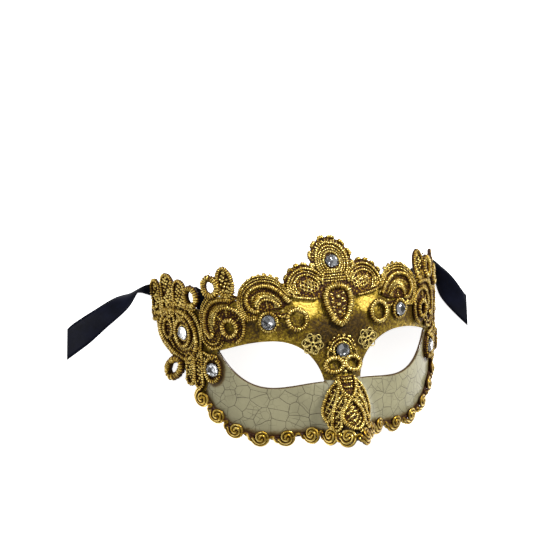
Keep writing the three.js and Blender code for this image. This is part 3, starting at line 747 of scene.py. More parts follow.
class Finish:
    """A material being built."""

    def __init__(self, name):
        self.material = bpy.data.materials.new(name)
        self.material.use_nodes = True
        self.tree = self.material.node_tree
        self.tree.nodes.clear()

    def add(self, kind, inputs=None, output=0, **settings):
        node = self.tree.nodes.new(kind)
        for key, value in settings.items():
            setattr(node, key, value)
        for key, value in (inputs or {}).items():
            if isinstance(value, Wire):
                self.tree.links.new(value.socket, node.inputs[key])
            else:
                node.inputs[key].default_value = value
        return Wire(self, node.outputs[output])

    def ramp(self, factor, *stops):
        """A colour for each value of a factor, from pairs of a place and a shade."""
        node = self.tree.nodes.new("ShaderNodeValToRGB")
        elements = node.color_ramp.elements
        while len(elements) < len(stops):
            elements.new(0.5)
        for element, (place, shade) in zip(elements, stops):
            element.position = place
            element.color = rgba(shade)
        self.tree.links.new(factor.socket, node.inputs["Fac"])
        return Wire(self, node.outputs["Color"])

    def gilded(self, c, tone, *places):
        """A ramp from wax to gold: the places are those of dark, plain and bright gold, in that order."""
        shades = (c.umber, c.gold_dark, c.gold_mid, c.gold_bright)
        return self.ramp(tone.clipped(), *zip((0.0, *places), shades))

    def mixed(self, a, b, factor):
        inputs = {"Factor": factor, 6: rgba(a), 7: rgba(b)}
        return self.add("ShaderNodeMix", inputs, 2, data_type="RGBA", blend_type="MIX")

    def attribute(self, name):
        return self.add("ShaderNodeAttribute", None, "Fac", attribute_name=name)

    def crown(self):
        """1 on top of a cord and 0 on its lower half; the finishes paint a highlight on top and shade below
        by it.
        """
        return (self.attribute("crown") * 2 - 1).clipped()

    def place(self):
        return self.add("ShaderNodeTexCoord", None, "Object")

    def flat(self):
        return self.add("ShaderNodeUVMap", uv_map="flat")

    def noise(self, where, size, detail=3.0, roughness=0.6):
        """Noise whose lumps are about size metres across."""
        inputs = {"Vector": where, "Scale": 1 / size, "Detail": detail, "Roughness": roughness}
        return self.add("ShaderNodeTexNoise", inputs)

    def cells(self, where, size, output="Distance", **settings):
        """Cells about size metres across."""
        return self.add("ShaderNodeTexVoronoi", {"Vector": where, "Scale": 1 / size}, output, **settings)

    def swirled(self, where, size, reach):
        """The same place, pushed about by soft noise."""
        push = self.add("ShaderNodeTexNoise", {"Vector": where, "Scale": 1 / size, "Detail": 1.0}, "Color")
        inputs = {0: push, 1: (reach, reach, reach), 2: where}
        return self.add("ShaderNodeVectorMath", inputs, operation="MULTIPLY_ADD")

    def bump(self, height, distance, strength, **normal):
        inputs = {"Height": height, "Distance": distance, "Strength": strength, **normal}
        return self.add("ShaderNodeBump", inputs)

    def shader(self, inputs):
        made = self.add("ShaderNodeBsdfPrincipled", inputs)
        end = self.tree.nodes.new("ShaderNodeOutputMaterial")
        self.tree.links.new(made.socket, end.inputs["Surface"])
        return self.material


def known_finish(name, make, colours):
    return bpy.data.materials.get(name) or make(Finish(name), colours)


def gilded_thread(f, c):
    """Stiffened thread under worn gold, with brown wax left between the threads, and painted light: a painted
    highlight on the tops of the cords, painted shade on their lower sides, in the grooves of the wraps and
    towards the sides of the mask.
    """
    where = f.place()
    patches = f.noise(where, 0.007, 4.0)
    grain = f.noise(where, 0.0009, 3.0, 0.7)
    crown = f.crown()
    # Painted shade: the cords are made darker towards the sides of the mask.
    aside = (f.add("ShaderNodeSeparateXYZ", {"Vector": where}).maths("ABSOLUTE") * 12.5).clipped()
    # Painted light: the crown paints the tops of the cords bright and their lower sides dark; the ridge
    # darkens the grooves between the wraps, partly wax and partly painted shade.
    tone = crown * 0.9 + f.attribute("ridge") * 0.85 + (patches - 0.5) * 1.1 + (grain - 0.5) * 1.2 - 0.6
    tone = tone - aside * 0.22
    return f.shader({"Base Color": f.gilded(c, tone, 0.28, 0.6, 1.0),
                     "Metallic": tone.between(0.1, 0.4) * 0.9,
                     "Roughness": 0.55 - tone.between(0.3, 0.9) * 0.3, "Specular IOR Level": 0.15,
                     "Coat Weight": tone.between(0.5, 0.9) * 0.25, "Coat Roughness": 0.18,
                     "Normal": f.bump(grain, 0.0004, 0.7)})


def lace_ground(f, c):
    """The flat ground between the cords, kept dark as painted shade between them, with brown wax and a little
    gold on it.
    """
    where = f.place()
    dots = f.cells(where, 0.0012)
    patches = f.noise(where, 0.004, 3.0)
    tone = (0.6 - dots).between(0.0, 0.45) * 0.7 + (patches - 0.5) * 0.9 - 0.05
    return f.shader({"Base Color": f.gilded(c, tone, 0.35, 0.7), "Metallic": tone.between(0.3, 0.7) * 0.8,
                     "Roughness": 0.55, "Specular IOR Level": 0.1, "Normal": f.bump(1 - dots, 0.0005, 0.8)})


def smooth_gilt(f, c):
    """The braid's smooth strands, with a painted highlight on top and painted shade, with wax, in the
    grooves.
    """
    where = f.place()
    patches = f.noise(where, 0.008, 3.0)
    grain = f.noise(where, 0.001, 2.0)
    # Painted light: the crown paints the tops of the strands bright and their sides dark.
    tone = f.crown() ** 1.3 * 1.12 + (patches - 0.5) * 0.8 + (grain - 0.5) * 0.3 - 0.27
    return f.shader({"Base Color": f.gilded(c, tone, 0.3, 0.62, 1.0),
                     "Metallic": tone.between(0.1, 0.35) * 0.95,
                     "Roughness": 0.46 - tone.between(0.3, 0.9) * 0.2, "Specular IOR Level": 0.15,
                     "Coat Weight": tone.between(0.5, 0.9) * 0.5, "Coat Roughness": 0.15,
                     "Normal": f.bump(grain, 0.0001, 0.5)})


def gilt_and_crackle(f, c):
    """Gold leaf over the brow, a crackled cream glaze on the cheeks and a plain bronze wash inside."""
    where, flat = f.place(), f.flat()
    gilt, stain, leaf_shine = f.attribute("gilt"), f.attribute("stain"), f.attribute("shine")
    within = f.attribute("inside").between(0.35, 0.65)
    ragged = f.noise(where, 0.004, 4.0)
    gold = (gilt + (ragged - 0.5) * 0.35).between(0.42, 0.58) * (1 - within)
    # Gold leaf, grained and creased; its shine holds a painted highlight beside the crest and painted shade
    # under the flowers.
    patches = f.noise(where, 0.008, 5.0, 0.75)
    grain = f.noise(where, 0.0014, 5.0, 0.75)
    crease = f.cells(f.swirled(where, 0.003, 0.003), 0.0034, feature="DISTANCE_TO_EDGE").between(0.0, 0.12)
    tone = leaf_shine + (patches - 0.5) * 0.9 + (grain - 0.5) * 1.5 + (crease - 0.8) * 0.12
    leaf_shade = f.ramp(tone.clipped(), (0.0, c.olive), (0.3, c.leaf_brown), (0.56, c.leaf),
                        (0.9, c.leaf_bright))
    # Crackle: two sizes of cell, the fine one only in places.
    bend = f.noise(flat, 0.02, 2.0)
    bent = f.swirled(flat, 0.012, 0.004)
    coarse, fine = (f.cells(bent, size, feature="DISTANCE_TO_EDGE", voronoi_dimensions="2D")
                    for size in (0.0078, 0.0046))
    crack = (1 - coarse.between(0.0, 0.034)) * 0.95
    hair = (1 - fine.between(0.0, 0.05)) * 0.65 * bend.between(0.4, 0.58)
    lines = crack.most(hair)
    mottle = f.noise(where, 0.018, 4.0)
    glaze = f.mixed(c.cream, dimmed(c.cream, 0.8), mottle.between(0.35, 0.7))
    glaze = f.mixed(glaze, c.crack, lines)
    soil = (stain + (ragged - 0.5) * 0.6 * (stain * 3).clipped()).clipped()
    dirt = f.ramp(soil, (0.0, dimmed(c.cream, 0.9)), (0.45, c.soil), (0.8, c.soil_deep))
    glaze = f.mixed(glaze, dirt, soil.between(0.05, 0.6))
    shade = f.mixed(glaze, leaf_shade, gold)
    wash = f.mixed(c.wash, dimmed(c.wash, 0.45), patches.between(0.35, 0.7))
    shade = f.mixed(shade, wash, within)
    bump = f.bump(1 - lines * (1 - gold) * (1 - within), 0.0002, 0.5)
    bump = f.bump((grain + crease * 0.3) * gold, 0.0005, 0.8, Normal=bump)
    front = (1 - gold) * (1 - within)
    return f.shader({"Base Color": shade, "Metallic": gold * tone.between(0.2, 0.5) * 0.85 + within * 0.3,
                     "Roughness": 0.34 + gold * 0.08 + front * soil * 0.3 + within * 0.3,
                     "Coat Weight": front * 0.4 + gold * tone.between(0.5, 0.9) * 0.3, "Coat Roughness": 0.14,
                     "Specular IOR Level": 0.15, "Normal": bump})


def worn_wire(f, c):
    """Tarnished metal wire, with a painted highlight on its crowns and painted shade below them."""
    where = f.place()
    grain = f.noise(where, 0.0015, 3.0)
    # Painted light: the crown paints the tops of the wires bright and their lower sides dark.
    tone = f.attribute("crown") ** 1.8 * 1.25 + (grain - 0.5) * 0.7 - 0.12
    shade = f.ramp(tone.clipped(), (0.0, c.umber), (0.4, dimmed(c.wire, 0.35)), (0.75, c.wire),
                   (1.0, c.gold_bright))
    return f.shader({"Base Color": shade, "Metallic": 0.85, "Roughness": 0.42})


def navy_satin(f, c):
    """Satin woven across, a little cloudy."""
    flat = f.flat()
    weft = f.add("ShaderNodeTexWave", {"Vector": flat, "Scale": 1 / 0.0016, "Distortion": 0.4},
                 bands_direction="X", wave_type="BANDS")
    cloud = f.noise(flat, 0.012, 3.0)
    shade = f.mixed(c.satin, [2.6 * x + 0.001 for x in c.satin], cloud.between(0.3, 0.75))
    return f.shader({"Base Color": shade, "Roughness": 0.55 - cloud * 0.12, "Specular IOR Level": 0.1,
                     "Normal": f.bump(weft, 0.00005, 0.5)})


def crystal(f, _):
    """Clear cut crystal."""
    return f.shader({"Base Color": (1, 1, 1, 1), "Roughness": 0.02, "IOR": 1.57, "Transmission Weight": 1.0})


def silver_foil(f, c):
    """The silvered cup under a crystal, broken into bright and dark cells that are painted reflections of
    facets.
    """
    cells = f.add("ShaderNodeSeparateColor", {"Color": f.cells(f.place(), 0.0019, "Color")})
    # Painted reflections: random cells of the foil are painted from near black to full silver.
    shade = f.ramp(cells, *((place, dimmed(c.foil, share))
                            for place, share in ((0.0, 0.03), (0.3, 0.12), (0.65, 0.5), (0.9, 1.0))))
    return f.shader({"Base Color": shade, "Metallic": 1.0, "Roughness": 0.04})


class Maker:
    """Runs an operator's build on the scene's settings."""

    def execute(self, context):
        self.build(context.scene.half_mask)
        return {"FINISHED"}


# Outlines of the shell.

TOP_EDGE = [(0, 41), (14, 38), (30, 34), (48, 31), (68, 27.5), (88, 22)]
SIDE_EDGE = [(126, 21.3), (133, 19), (134, 4), (125, 1.5), (117, -5), (109, -11), (102, -17.5), (96, -22)]
LOWER_EDGE = [(90.5, -26.5), (86, -30), (76, -39), (63.5, -46.8), (47.5, -50.8), (32, -50.6), (19, -48.2),
              (11.5, -46.8), (5, -46), (0, -45.8)]
EYE_INNER = (11.4, -16.8)
EYE_OUTER = (73.6, -0.4)
EYE_TOP = (39.5, 6.4)
EYE_FOOT = (38.5, -20.4)
EYE_BENDS = [
    (EYE_INNER, (12.6, -5), (23, 6.6), EYE_TOP), (EYE_TOP, (52, 6.2), (60, 3.4), EYE_OUTER),
    (EYE_OUTER, (64, -13.5), (53, -20.6), EYE_FOOT), (EYE_FOOT, (30, -20.2), (20, -18.4), EYE_INNER),
]


def bezier(points, count):
    a, b, c, d = (np.array(p, float) for p in points)
    t = np.linspace(0, 1, count, endpoint=False)[:, None]
    return a * (1 - t) ** 3 + 3 * b * t * (1 - t) ** 2 + 3 * c * t ** 2 * (1 - t) + d * t ** 3


def shell_region():
    right = np.concatenate([spline(TOP_EDGE, 1.5), np.array(SIDE_EDGE, float), spline(LOWER_EDGE, 1.5)])
    eye = np.concatenate([bezier(bend, 26) for bend in EYE_BENDS])
    return Region([both_halves(right)], [eye, mirrored(eye)])


# Motifs of the lace, in millimetres of u and v. Paired pieces are worked for the right half.

GROUND_LOW = 0.3
GROUND_TOP = 1.1
THREAD_HEIGHT = 1.25
CREST_TOP = (0, 47.2)
CREST_SIDE = (17, 33.4)
TEAR_OUTER = [(0, 36.6), (6.5, 34.8), (9.4, 28.8), (7.6, 21.5), (3.4, 15), (0, 12.6)]
TEAR_INNER = [(0, 33.2), (4, 31.8), (5.4, 27.8), (4.2, 22.2), (1.8, 18), (0, 16.8)]
BROW_ARCH = (41, 24.8)
BROW_STONE = (41, 17.4)
OPEN_RING = (24.6, 18.6)
SCROLL_EYE = (64.8, 13.6)
SCROLL_SPOKES = (68.4, 15.4)
SCROLL_RING = (76, 35.4)
SCROLL_LOOP = (65.6, 38)
SCROLL_LINK = (70.6, 32.6)
TEMPLE_STONE = (102, 7.2)
LOOP_STONE = (77.4, -11.2)
FAN_RING = (92.6, 28.8)
HANGING_LOOP = (109.6, -14.6)
HANGING_TURN = -39
FINGERS = [(124.6, 19, 126, 30.2, 4.5), (114, 20, 115, 33.4, 6.1), (103.4, 21, 104, 31.6, 5.9)]
FRINGE = [(95.8, -7, 96, -18.6, 4.4), (88.8, -2.5, 88, -19.6, 4.2)]
BRIDGE_STONE = (0, -0.4)
BRIDGE_RING = (5.2, -8)
FLOWER = (16.6, 4.6)
SIDES = (1, -1)


def spokes(t, centre, inner, outer, start, end, count, radius, height=THREAD_HEIGHT):
    """Short threads that point away from a centre."""
    for bearing in np.radians(np.linspace(start, end, count)):
        c, s = math.cos(bearing), math.sin(bearing)
        t.lay([(centre[0] + r * c, centre[1] + r * s) for r in (inner, outer)], height, radius, **PLAIN)


def picots(t, centre, radius, start, end, count, thread=1.15, height=1.25, share=0.7):
    """Fat little twists of cord along an edge, with gaps between them."""
    for k in range(count):
        middle = start + (end - start) * (k + 0.5) / count
        half = (end - start) / count * share / 2
        line = arc(*centre, radius, None, middle - half, middle + half)
        away = line - np.asarray(centre, float)
        bulge = 1 + 0.5 / radius * np.sin(np.linspace(0, math.pi, len(line)))[:, None]
        t.lay(np.asarray(centre, float) + away * bulge, height, thread, pitch=1.05, depth=0.24)


def rope_ring(t, centre, outer, inner, turn=0.0, height=0.45):
    """A ring of wrapped cord that fills the way from an inner to an outer oval."""
    thick = (outer[0] + outer[1] - inner[0] - inner[1]) / 4
    middle = loop(*centre, (outer[0] + inner[0]) / 2, (outer[1] + inner[1]) / 2, turn)
    t.lay(middle, height + thick, thick, closed=True, depth=0.16)


def netting(t, region, spacing, heading, radius, height, margin=0.4):
    """Rows of knotted thread across a region."""
    outline = np.concatenate(region.outlines)
    middle = outline.mean(0)
    reach = np.linalg.norm(outline - middle, axis=1).max() + spacing
    along = np.array([math.cos(math.radians(heading)), math.sin(math.radians(heading))])
    across = np.array([-along[1], along[0]])
    run = np.arange(-reach, reach, 0.3)
    for offset in np.arange(-reach, reach, spacing):
        points = middle + across * offset + run[:, None] * along
        within = region(points) < -margin
        starts = np.flatnonzero(within & ~np.roll(within, 1))
        ends = np.flatnonzero(within & ~np.roll(within, -1))
        for a, b in zip(starts, ends):
            if b - a > 3:
                t.beaded(points[a:b + 1], height, radius, 1.2)


def scattered(t, region, spacing, radius, height, margin):
    """Knots all over a region, in rows that wave a little."""
    outline = np.concatenate(region.outlines)
    low, high = outline.min(0), outline.max(0)
    for k, v in enumerate(np.arange(low[1], high[1], spacing * 0.86)):
        us = np.arange(low[0] + (k % 2) * spacing / 2, high[0], spacing)
        spots = np.column_stack([us, v + 0.35 * spacing * np.sin(us * 0.9 + k)])
        for u, w in spots[region(spots) < -margin]:
            t.knot(u, w, height + 0.2 * math.sin(3 * u + 5 * w), radius, 1.25)


def finger(t, u0, v0, u1, v1, radius):
    """A long loop of cord with knots inside."""
    t.lay(capsule(u0, v0, u1, v1, radius - 1.0), 1.5, 1.05, closed=True, depth=0.2)
    scattered(t, Region([capsule(u0, v0, u1, v1, radius - 0.9)]), 2.1, 0.8, 1.35, 1.6)


def ground_sheet(name, face, region, material, spacing):
    """The thin stuff that the threads of a lace are worked on; its finish paints it dark as shade between the
    threads.
    """
    rows, faces, _ = sheet_mesh(region, spacing, GROUND_LOW, GROUND_TOP)
    points, _ = on_face(face, rows)
    return mesh_object(name, points, faces, material)


def lace(mask, region, threads, name, paired=True, spacing=0.9):
    """Makes one piece of lace, and its twin where it has one, and fixes them to the mask."""
    right = "_right" if paired else ""
    worked = f"{name}_worked{right}"
    gold = known_finish("gilded_thread", gilded_thread, mask.colours)
    # The ground's finish is painted shade: a dark sheet laid between the cords where shade falls.
    wax = known_finish("lace_ground", lace_ground, mask.colours)
    cords = threads.swept(worked, mask.face, gold)
    piece = joined(worked, [cords, ground_sheet(worked + "_ground", mask.face, region, wax, spacing)])
    above_table(piece)
    if paired:
        hand_over(twin(piece, f"{name}_worked_left"), "gilded_lace", f"{name}_left")
    hand_over(piece, "gilded_lace", name + right)

def crest_threads(sizes):
    t = Threadwork(sizes)
    cu, cv = CREST_TOP
    t.beaded(loop(cu, cv, 4.8), 1.55, 0.72, 1.35, closed=True)
    for radius, thread, height in ((6.3, 0.5, 1.25), (7.7, 0.52, 1.3), (9.3, 0.78, 1.6)):
        t.beaded(arc(cu, cv, radius, None, -50, 230), height, thread, 1.4)
    spokes(t, CREST_TOP, 9.8, 11.4, -50, 230, 30, 0.3, 1.1)
    picots(t, CREST_TOP, 12.1, -54, 234, 10)
    for k in range(5):
        reach = 4.8 + 0.45 * k
        t.beaded([(-reach, 43.1 - 1.4 * k), (reach, 43.1 - 1.4 * k)], 1.3, 0.55, 1.4)
    for side in SIDES:
        t.curve([(side * 5.8, 41.8), (side * 7.4, 38.8), (side * 7.8, 35.6)], 1.5, 0.65)
        crest_fan(t, side)
    rim = (np.array(TEAR_OUTER) + TEAR_INNER) / 2
    t.lay(both_halves(spline(rim)), 1.4, 1.85, closed=True, pitch=1.25, depth=0.2)
    for v, size in ((29.2, 1.25), (25.0, 1.25), (20.9, 1.05)):
        t.knot(0, v, 1.3, size, 1.2)
        for side in SIDES:
            for near, low, far, high in ((1.9, 1.2, 3.6, 1.8), (1.7, -1.2, 3.2, -1.0)):
                t.lay([(side * near * size, v + low), (side * far * size, v + high)], 1.1, 0.42, **PLAIN)
    return t


def crest_fan(t, side):
    """One of the two side fans of the crest."""
    cu, cv = side * CREST_SIDE[0], CREST_SIDE[1]
    way = (lambda angle: angle) if side > 0 else (lambda angle: 180 - angle)
    picots(t, (cu, cv), 13.2, way(2), way(122), 6, 1.15)
    t.lay(arc(cu, cv, 11.2, None, way(-14), way(146)), 1.55, 0.82)
    t.beaded(arc(cu, cv, 9.7, None, way(-6), way(146)), 1.2, 0.42)
    t.lay(arc(cu, cv, 8.0, None, way(-2), way(164)), 1.5, 0.72)
    oval = Region([loop(cu - side * 1.2, cv + 2.2, 6.4, 4.0, side * 8)])
    netting(t, oval, 1.9, 22 * side, 0.36, 1.15)
    netting(t, oval, 1.9, 100 * side, 0.36, 1.35)
    scattered(t, oval, 3.2, 0.5, 1.5, 1.2)
    for k in range(4):
        t.curve([(side * (28.6 - 1.5 * k), 36.8 + 0.3 * k), (side * (27.2 - 1.4 * k), 33.8),
                 (side * (24.8 - 1.2 * k), 31.8 - 0.2 * k)], 1.35, 0.5)
    t.curve([(side * 26.6, 31.2), (side * 21, 29.7), (side * 12, 28.9)], 1.5, 0.8)


def crest_ground():
    top = scalloped(*CREST_TOP, 11.9, 10, 0.9, -54, 234)
    right = scalloped(*CREST_SIDE, 13.0, 7, 0.9, 2, 122)
    base = np.array([(-9, 28), (9, 28), (9, 44), (-9, 44)])
    tear = both_halves(spline(TEAR_OUTER, 0.6))
    fan = np.concatenate([right, [(8, 42), (8, 28.6), (26.6, 30.6)]])
    return Region([top, fan, mirrored(fan)[::-1], base, tear])


class MASK_OT_crest_lace(Maker, bpy.types.Operator):
    """Builds the crest: three fans and a teardrop loop"""

    bl_idname = "half_mask.crest_lace"
    bl_label = "Crest lace"

    def build(self, mask):
        lace(mask, crest_ground(), crest_threads(mask.lace), "crest_lace", paired=False)


def brow_edge(away):
    """The line round the brow arch, a distance out from its first row."""
    first = np.array([(47.2, 20.6), (52.8, 20.2), (55.6, 24.4), (55.8, 29.5), (53, 34.6), (47.6, 38),
                      (41.6, 39.2), (35.6, 38), (31, 34.4), (28.4, 30.6)])
    outward = np.array([(0, -0.5), (0.4, -0.6), (1, 0), (1, 0), (0.8, 0.6), (0.3, 1), (0, 1), (-0.3, 0.9),
                        (-0.5, 0.5), (-0.6, 0)])
    return spline(first + outward * away)


def brow_threads(sizes):
    t = Threadwork(sizes)
    t.lay(arc(*BROW_STONE, 5.1, None, -25, 205), 1.6, 1.1, depth=0.2)
    t.lay(arc(*BROW_STONE, 5.1, None, 200, 340), 1.3, 0.8, depth=0.2)
    t.curve([(45.6, 23), (49.6, 23.4), (52.6, 26.6), (52.6, 31), (49.2, 34.8), (43, 36.5), (36.6, 35.6),
             (31.4, 31.8), (28, 27.4)], 1.75, 1.25, pitch=1.05, depth=0.18)
    t.beads([(49.8, 28.6), (47.8, 31.6), (43, 33), (38, 32.2), (34.4, 29.4), (32.4, 26.8)], 1.3, 0.48)
    t.curve([(46.2, 23.8), (46, 26.6), (43.4, 29), (40, 29.4), (36.6, 28.2), (33.4, 25.4)], 1.55, 0.85)
    spokes(t, (41.5, 26), 4.6, 9.4, -2, 186, 26, 0.33)
    t.lay([(41, 23.8), (41, 28.6)], 1.1, 0.4)
    for away, thread in ((0, 0.56), (1.35, 0.5), (2.6, 0.62)):
        t.beaded(brow_edge(away), 1.3, thread, 1.15)
    for k in range(3):
        t.curve([(33.4 - 1.1 * k, 35.4 - 1.2 * k), (30.6 - 0.8 * k, 31.4 - 0.6 * k), (27.6 - 0.8 * k, 27.8)],
                1.45, 0.5)
    picots(t, BROW_ARCH, 17.2, 4, 122, 10, 0.95, 1.2, 0.6)
    rope_ring(t, OPEN_RING, (6.7, 6.7), (4.0, 4.0))
    t.curve([(30.6, 21.4), (32.6, 20.2), (35.6, 21.4)], 1.2, 0.8)
    t.knot(32.4, 23.6, 1.3, 0.9)
    t.knot(49.2, 20.6, 1.3, 0.9)
    return t


def brow_ground():
    outline = np.concatenate([brow_edge(2.4), [(27.6, 27.4), (33, 24.4), (41, 23.6), (46.4, 22.6)]])
    link = capsule(29, 20.4, 36, 21.4, 1.5)
    return Region([outline, loop(*BROW_STONE, 5.9), loop(*OPEN_RING, 6.2), link],
                  [loop(*OPEN_RING, 4.6), loop(*CREST_SIDE, 12.6)])


class MASK_OT_brow_lace(Maker, bpy.types.Operator):
    """Builds the inner brow arches with their stone rings and open rings"""

    bl_idname = "half_mask.brow_lace"
    bl_label = "Brow lace"

    def build(self, mask):
        lace(mask, brow_ground(), brow_threads(mask.lace), "brow_lace")


SCROLL_OUTER = [(60, 31.6), (66, 31.8), (73, 31.2), (79, 28), (83, 22.6), (84.8, 15), (84.4, 8.4), (82, 3.8),
                (76.8, 1.2), (71.4, 2.6), (69, 6)]
SCROLL_ROUND = [(75.4, 14), (74.6, 18.8), (71.6, 22.8), (66.6, 24.8), (61, 24), (56.8, 20.6), (55.4, 15.2),
                (57, 9.2), (61.4, 5.6)]


def scroll_threads(sizes):
    t = Threadwork(sizes)
    rope_ring(t, SCROLL_EYE, (5.9, 5.9), (3.2, 3.2), height=0.6)
    t.curve(SCROLL_ROUND, 1.55, 0.95, depth=0.18)
    t.beads([(u * 1.02 - 1.6, v - 0.6) for u, v in SCROLL_ROUND[3:]], 1.25, 0.45)
    for a, b in (((66.4, 19.8), (66.4, 24)), ((70.4, 17.6), (73.4, 20.6)), ((60.4, 17.4), (57.6, 20.2))):
        t.lay([a, b], 1.3, 0.5)
    t.curve([(62, 28.6), (66.5, 28.9), (72, 28.4), (77, 26), (81, 21), (82.2, 15), (81.2, 10.4), (78.4, 8),
             (75.4, 9)], 1.8, 1.3, pitch=1.05, depth=0.15)
    t.knot(76.6, 9.2, 1.9, 1.7, 0.9)
    t.curve(SCROLL_OUTER, 1.45, 0.85)
    t.beads([(59, 29.8), (66, 30.4), (72.6, 29.9), (78, 27.2), (82.2, 22)], 1.25, 0.45)
    t.beads([(59, 33), (66, 33.4), (73.6, 32.8), (80, 29.4), (84.6, 23.4), (86.4, 16)], 1.2, 0.6)
    t.curve([(83, 8.6), (81.4, 5.8), (77.6, 3.8), (73.6, 4.8), (71.6, 8)], 1.35, 0.65)
    spokes(t, SCROLL_SPOKES, 8.2, 12.2, -34, 104, 24, 0.42, 1.2)
    t.beaded(arc(*SCROLL_SPOKES, 10.4, None, -30, 96), 1.4, 0.42)
    rope_ring(t, SCROLL_RING, (6.8, 6.5), (3.0, 3.0), height=0.35)
    t.lay(loop(*SCROLL_LOOP, 5.1, 7.6, -8), 1.5, 1.2, closed=True, depth=0.2)
    scattered(t, Region([loop(*SCROLL_LOOP, 5.0, 7.4, -8)]), 2.2, 0.85, 1.35, 1.4)
    t.knot(70.8, 36.2, 1.3, 0.9)
    t.knot(71.4, 42.6, 1.2, 0.6)
    t.knot(75.6, 42.8, 1.2, 0.6)
    t.lay(arc(*SCROLL_LINK, 2.5), 1.2, 0.6, closed=True)
    return t


def scroll_ground():
    body = np.concatenate([spline(SCROLL_OUTER), [(61.4, 5.4)], spline(SCROLL_ROUND)[::-1][:60], [(57, 31)]])
    return Region([body, loop(*SCROLL_EYE, 8.6), loop(*SCROLL_LOOP, 6, 8.4), loop(*SCROLL_RING, 6.0)],
                  [loop(*SCROLL_EYE, 3.6), loop(*SCROLL_RING, 3.3), loop(*SCROLL_LINK, 1.9)])


class MASK_OT_scroll_lace(Maker, bpy.types.Operator):
    """Builds the outer brow scrolls with the ring and the beaded loop above them"""

    bl_idname = "half_mask.scroll_lace"
    bl_label = "Scroll lace"

    def build(self, mask):
        lace(mask, scroll_ground(), scroll_threads(mask.lace), "scroll_lace")


MEDALLION_CORD = [(110.5, 19.2), (103, 19.2), (96, 17), (91.2, 11.6), (89.2, 4.4), (90.6, -2.4), (95.6, -6.8),
                  (102.6, -7.4), (110, -5), (117, -0.2), (121.2, 4.8), (121.4, 10.6), (117.4, 15.6)]
MEDALLION_EDGE = [(109, 21.9), (98.6, 21.9), (92, 19.6), (87.8, 14.6), (85.8, 7.6), (86.2, -0.2), (90, -6.6),
                  (97, -9.6), (104, -9.4), (112, -6.8), (119.4, -1.8), (123.8, 3.8), (124.4, 10.4),
                  (121.6, 16.4)]


def temple_threads(sizes):
    t = Threadwork(sizes)
    t.curve(MEDALLION_CORD, 1.7, 1.5, closed=True, pitch=1.3, depth=0.2)
    t.curve(MEDALLION_EDGE, 1.4, 0.9, closed=True)
    t.beads([(96.6, 20.4), (91.4, 17), (88.6, 11.4), (87.4, 4.4), (88.4, -2.6), (92.6, -7)], 1.1, 0.45)
    t.lay(loop(*TEMPLE_STONE, 6.4, 7.8), 1.7, 1.25, closed=True, pitch=1.3, depth=0.2)
    spokes(t, (102, 6.8), 8.3, 10.8, -170, 130, 34, 0.36, 1.1)
    t.lay(loop(*TEMPLE_STONE, 4.5), 1.4, 0.6, closed=True)
    t.lay(loop(115.2, 8, 3.9, 5.4), 1.65, 1.2, closed=True, depth=0.2)
    for v in (6.2, 9.8):
        t.lay([(112.4, v), (118, v)], 1.15, 0.45)
    t.curve([(109.4, -3.4), (112.6, 0.6), (118.6, 3.4)], 1.4, 0.8)
    t.curve([(121, 14.2), (119.2, 17.8), (114.6, 18.6), (110.2, 15.8), (109, 10.4), (109.4, 4.6)], 1.7, 1.15)
    t.beads([(97, -4.6), (104, -5), (110.6, -2.8)], 1.2, 0.6)
    for row in FINGERS + FRINGE:
        finger(t, *row)
    for v in (11.2, 14.6, 18.0):
        t.curve([(122.6, v + 2.6), (126, v + 0.4), (130.2 - 0.2 * abs(v - 15), v)], 1.4, 1.35, depth=0.2)
    scattered(t, Region([np.array([(98, 21.6), (128, 20.6), (129.6, 26), (99, 27.4)])]), 2.4, 0.95, 1.5, 0.8)
    t.lay(arc(*LOOP_STONE, 5.4, 6.8, -150, 110), 1.7, 1.25, depth=0.22)
    t.lay(arc(*LOOP_STONE, 5.2, 6.4, 110, 210), 1.4, 0.9)
    t.curve([(84, -1), (80.6, -3), (77, -2.6), (73.6, -4)], 1.5, 0.9)
    scattered(t, Region([loop(84.6, -7.4, 3.2, 4.4)]), 2.0, 0.8, 1.4, 0.8)
    rope_ring(t, FAN_RING, (6.7, 6.7), (3.1, 3.1), height=0.35)
    rope_ring(t, HANGING_LOOP, (9.9, 6.2), (5.0, 2.6), HANGING_TURN, 0.4)
    t.curve([(88.6, 22.6), (94, 21.4), (100.6, 23)], 1.3, 0.8)
    return t


def temple_ground():
    fingers = [capsule(a, b, c, d, r - 0.4) for a, b, c, d, r in FINGERS + FRINGE]
    block = np.array([(121, 9.4), (130.4, 10.6), (131.4, 15), (130.6, 20.6), (127, 27), (99, 27), (97, 20.6)])
    return Region([spline(MEDALLION_EDGE, closed=True), block, *fingers, loop(*LOOP_STONE, 6.2, 8.0),
                   loop(*FAN_RING, 6.0), loop(*HANGING_LOOP, 9.4, 5.6, HANGING_TURN),
                   loop(84.4, -7.4, 3.4, 4.4)],
                  [loop(*FAN_RING, 3.4), loop(*HANGING_LOOP, 5.7, 3.3, HANGING_TURN), loop(99.6, 24.6, 1.5)])


class MASK_OT_temple_lace(Maker, bpy.types.Operator):
    """Builds the temple medallions with their fans, fringes and loops"""

    bl_idname = "half_mask.temple_lace"
    bl_label = "Temple lace"

    def build(self, mask):
        lace(mask, temple_ground(), temple_threads(mask.lace), "temple_lace")


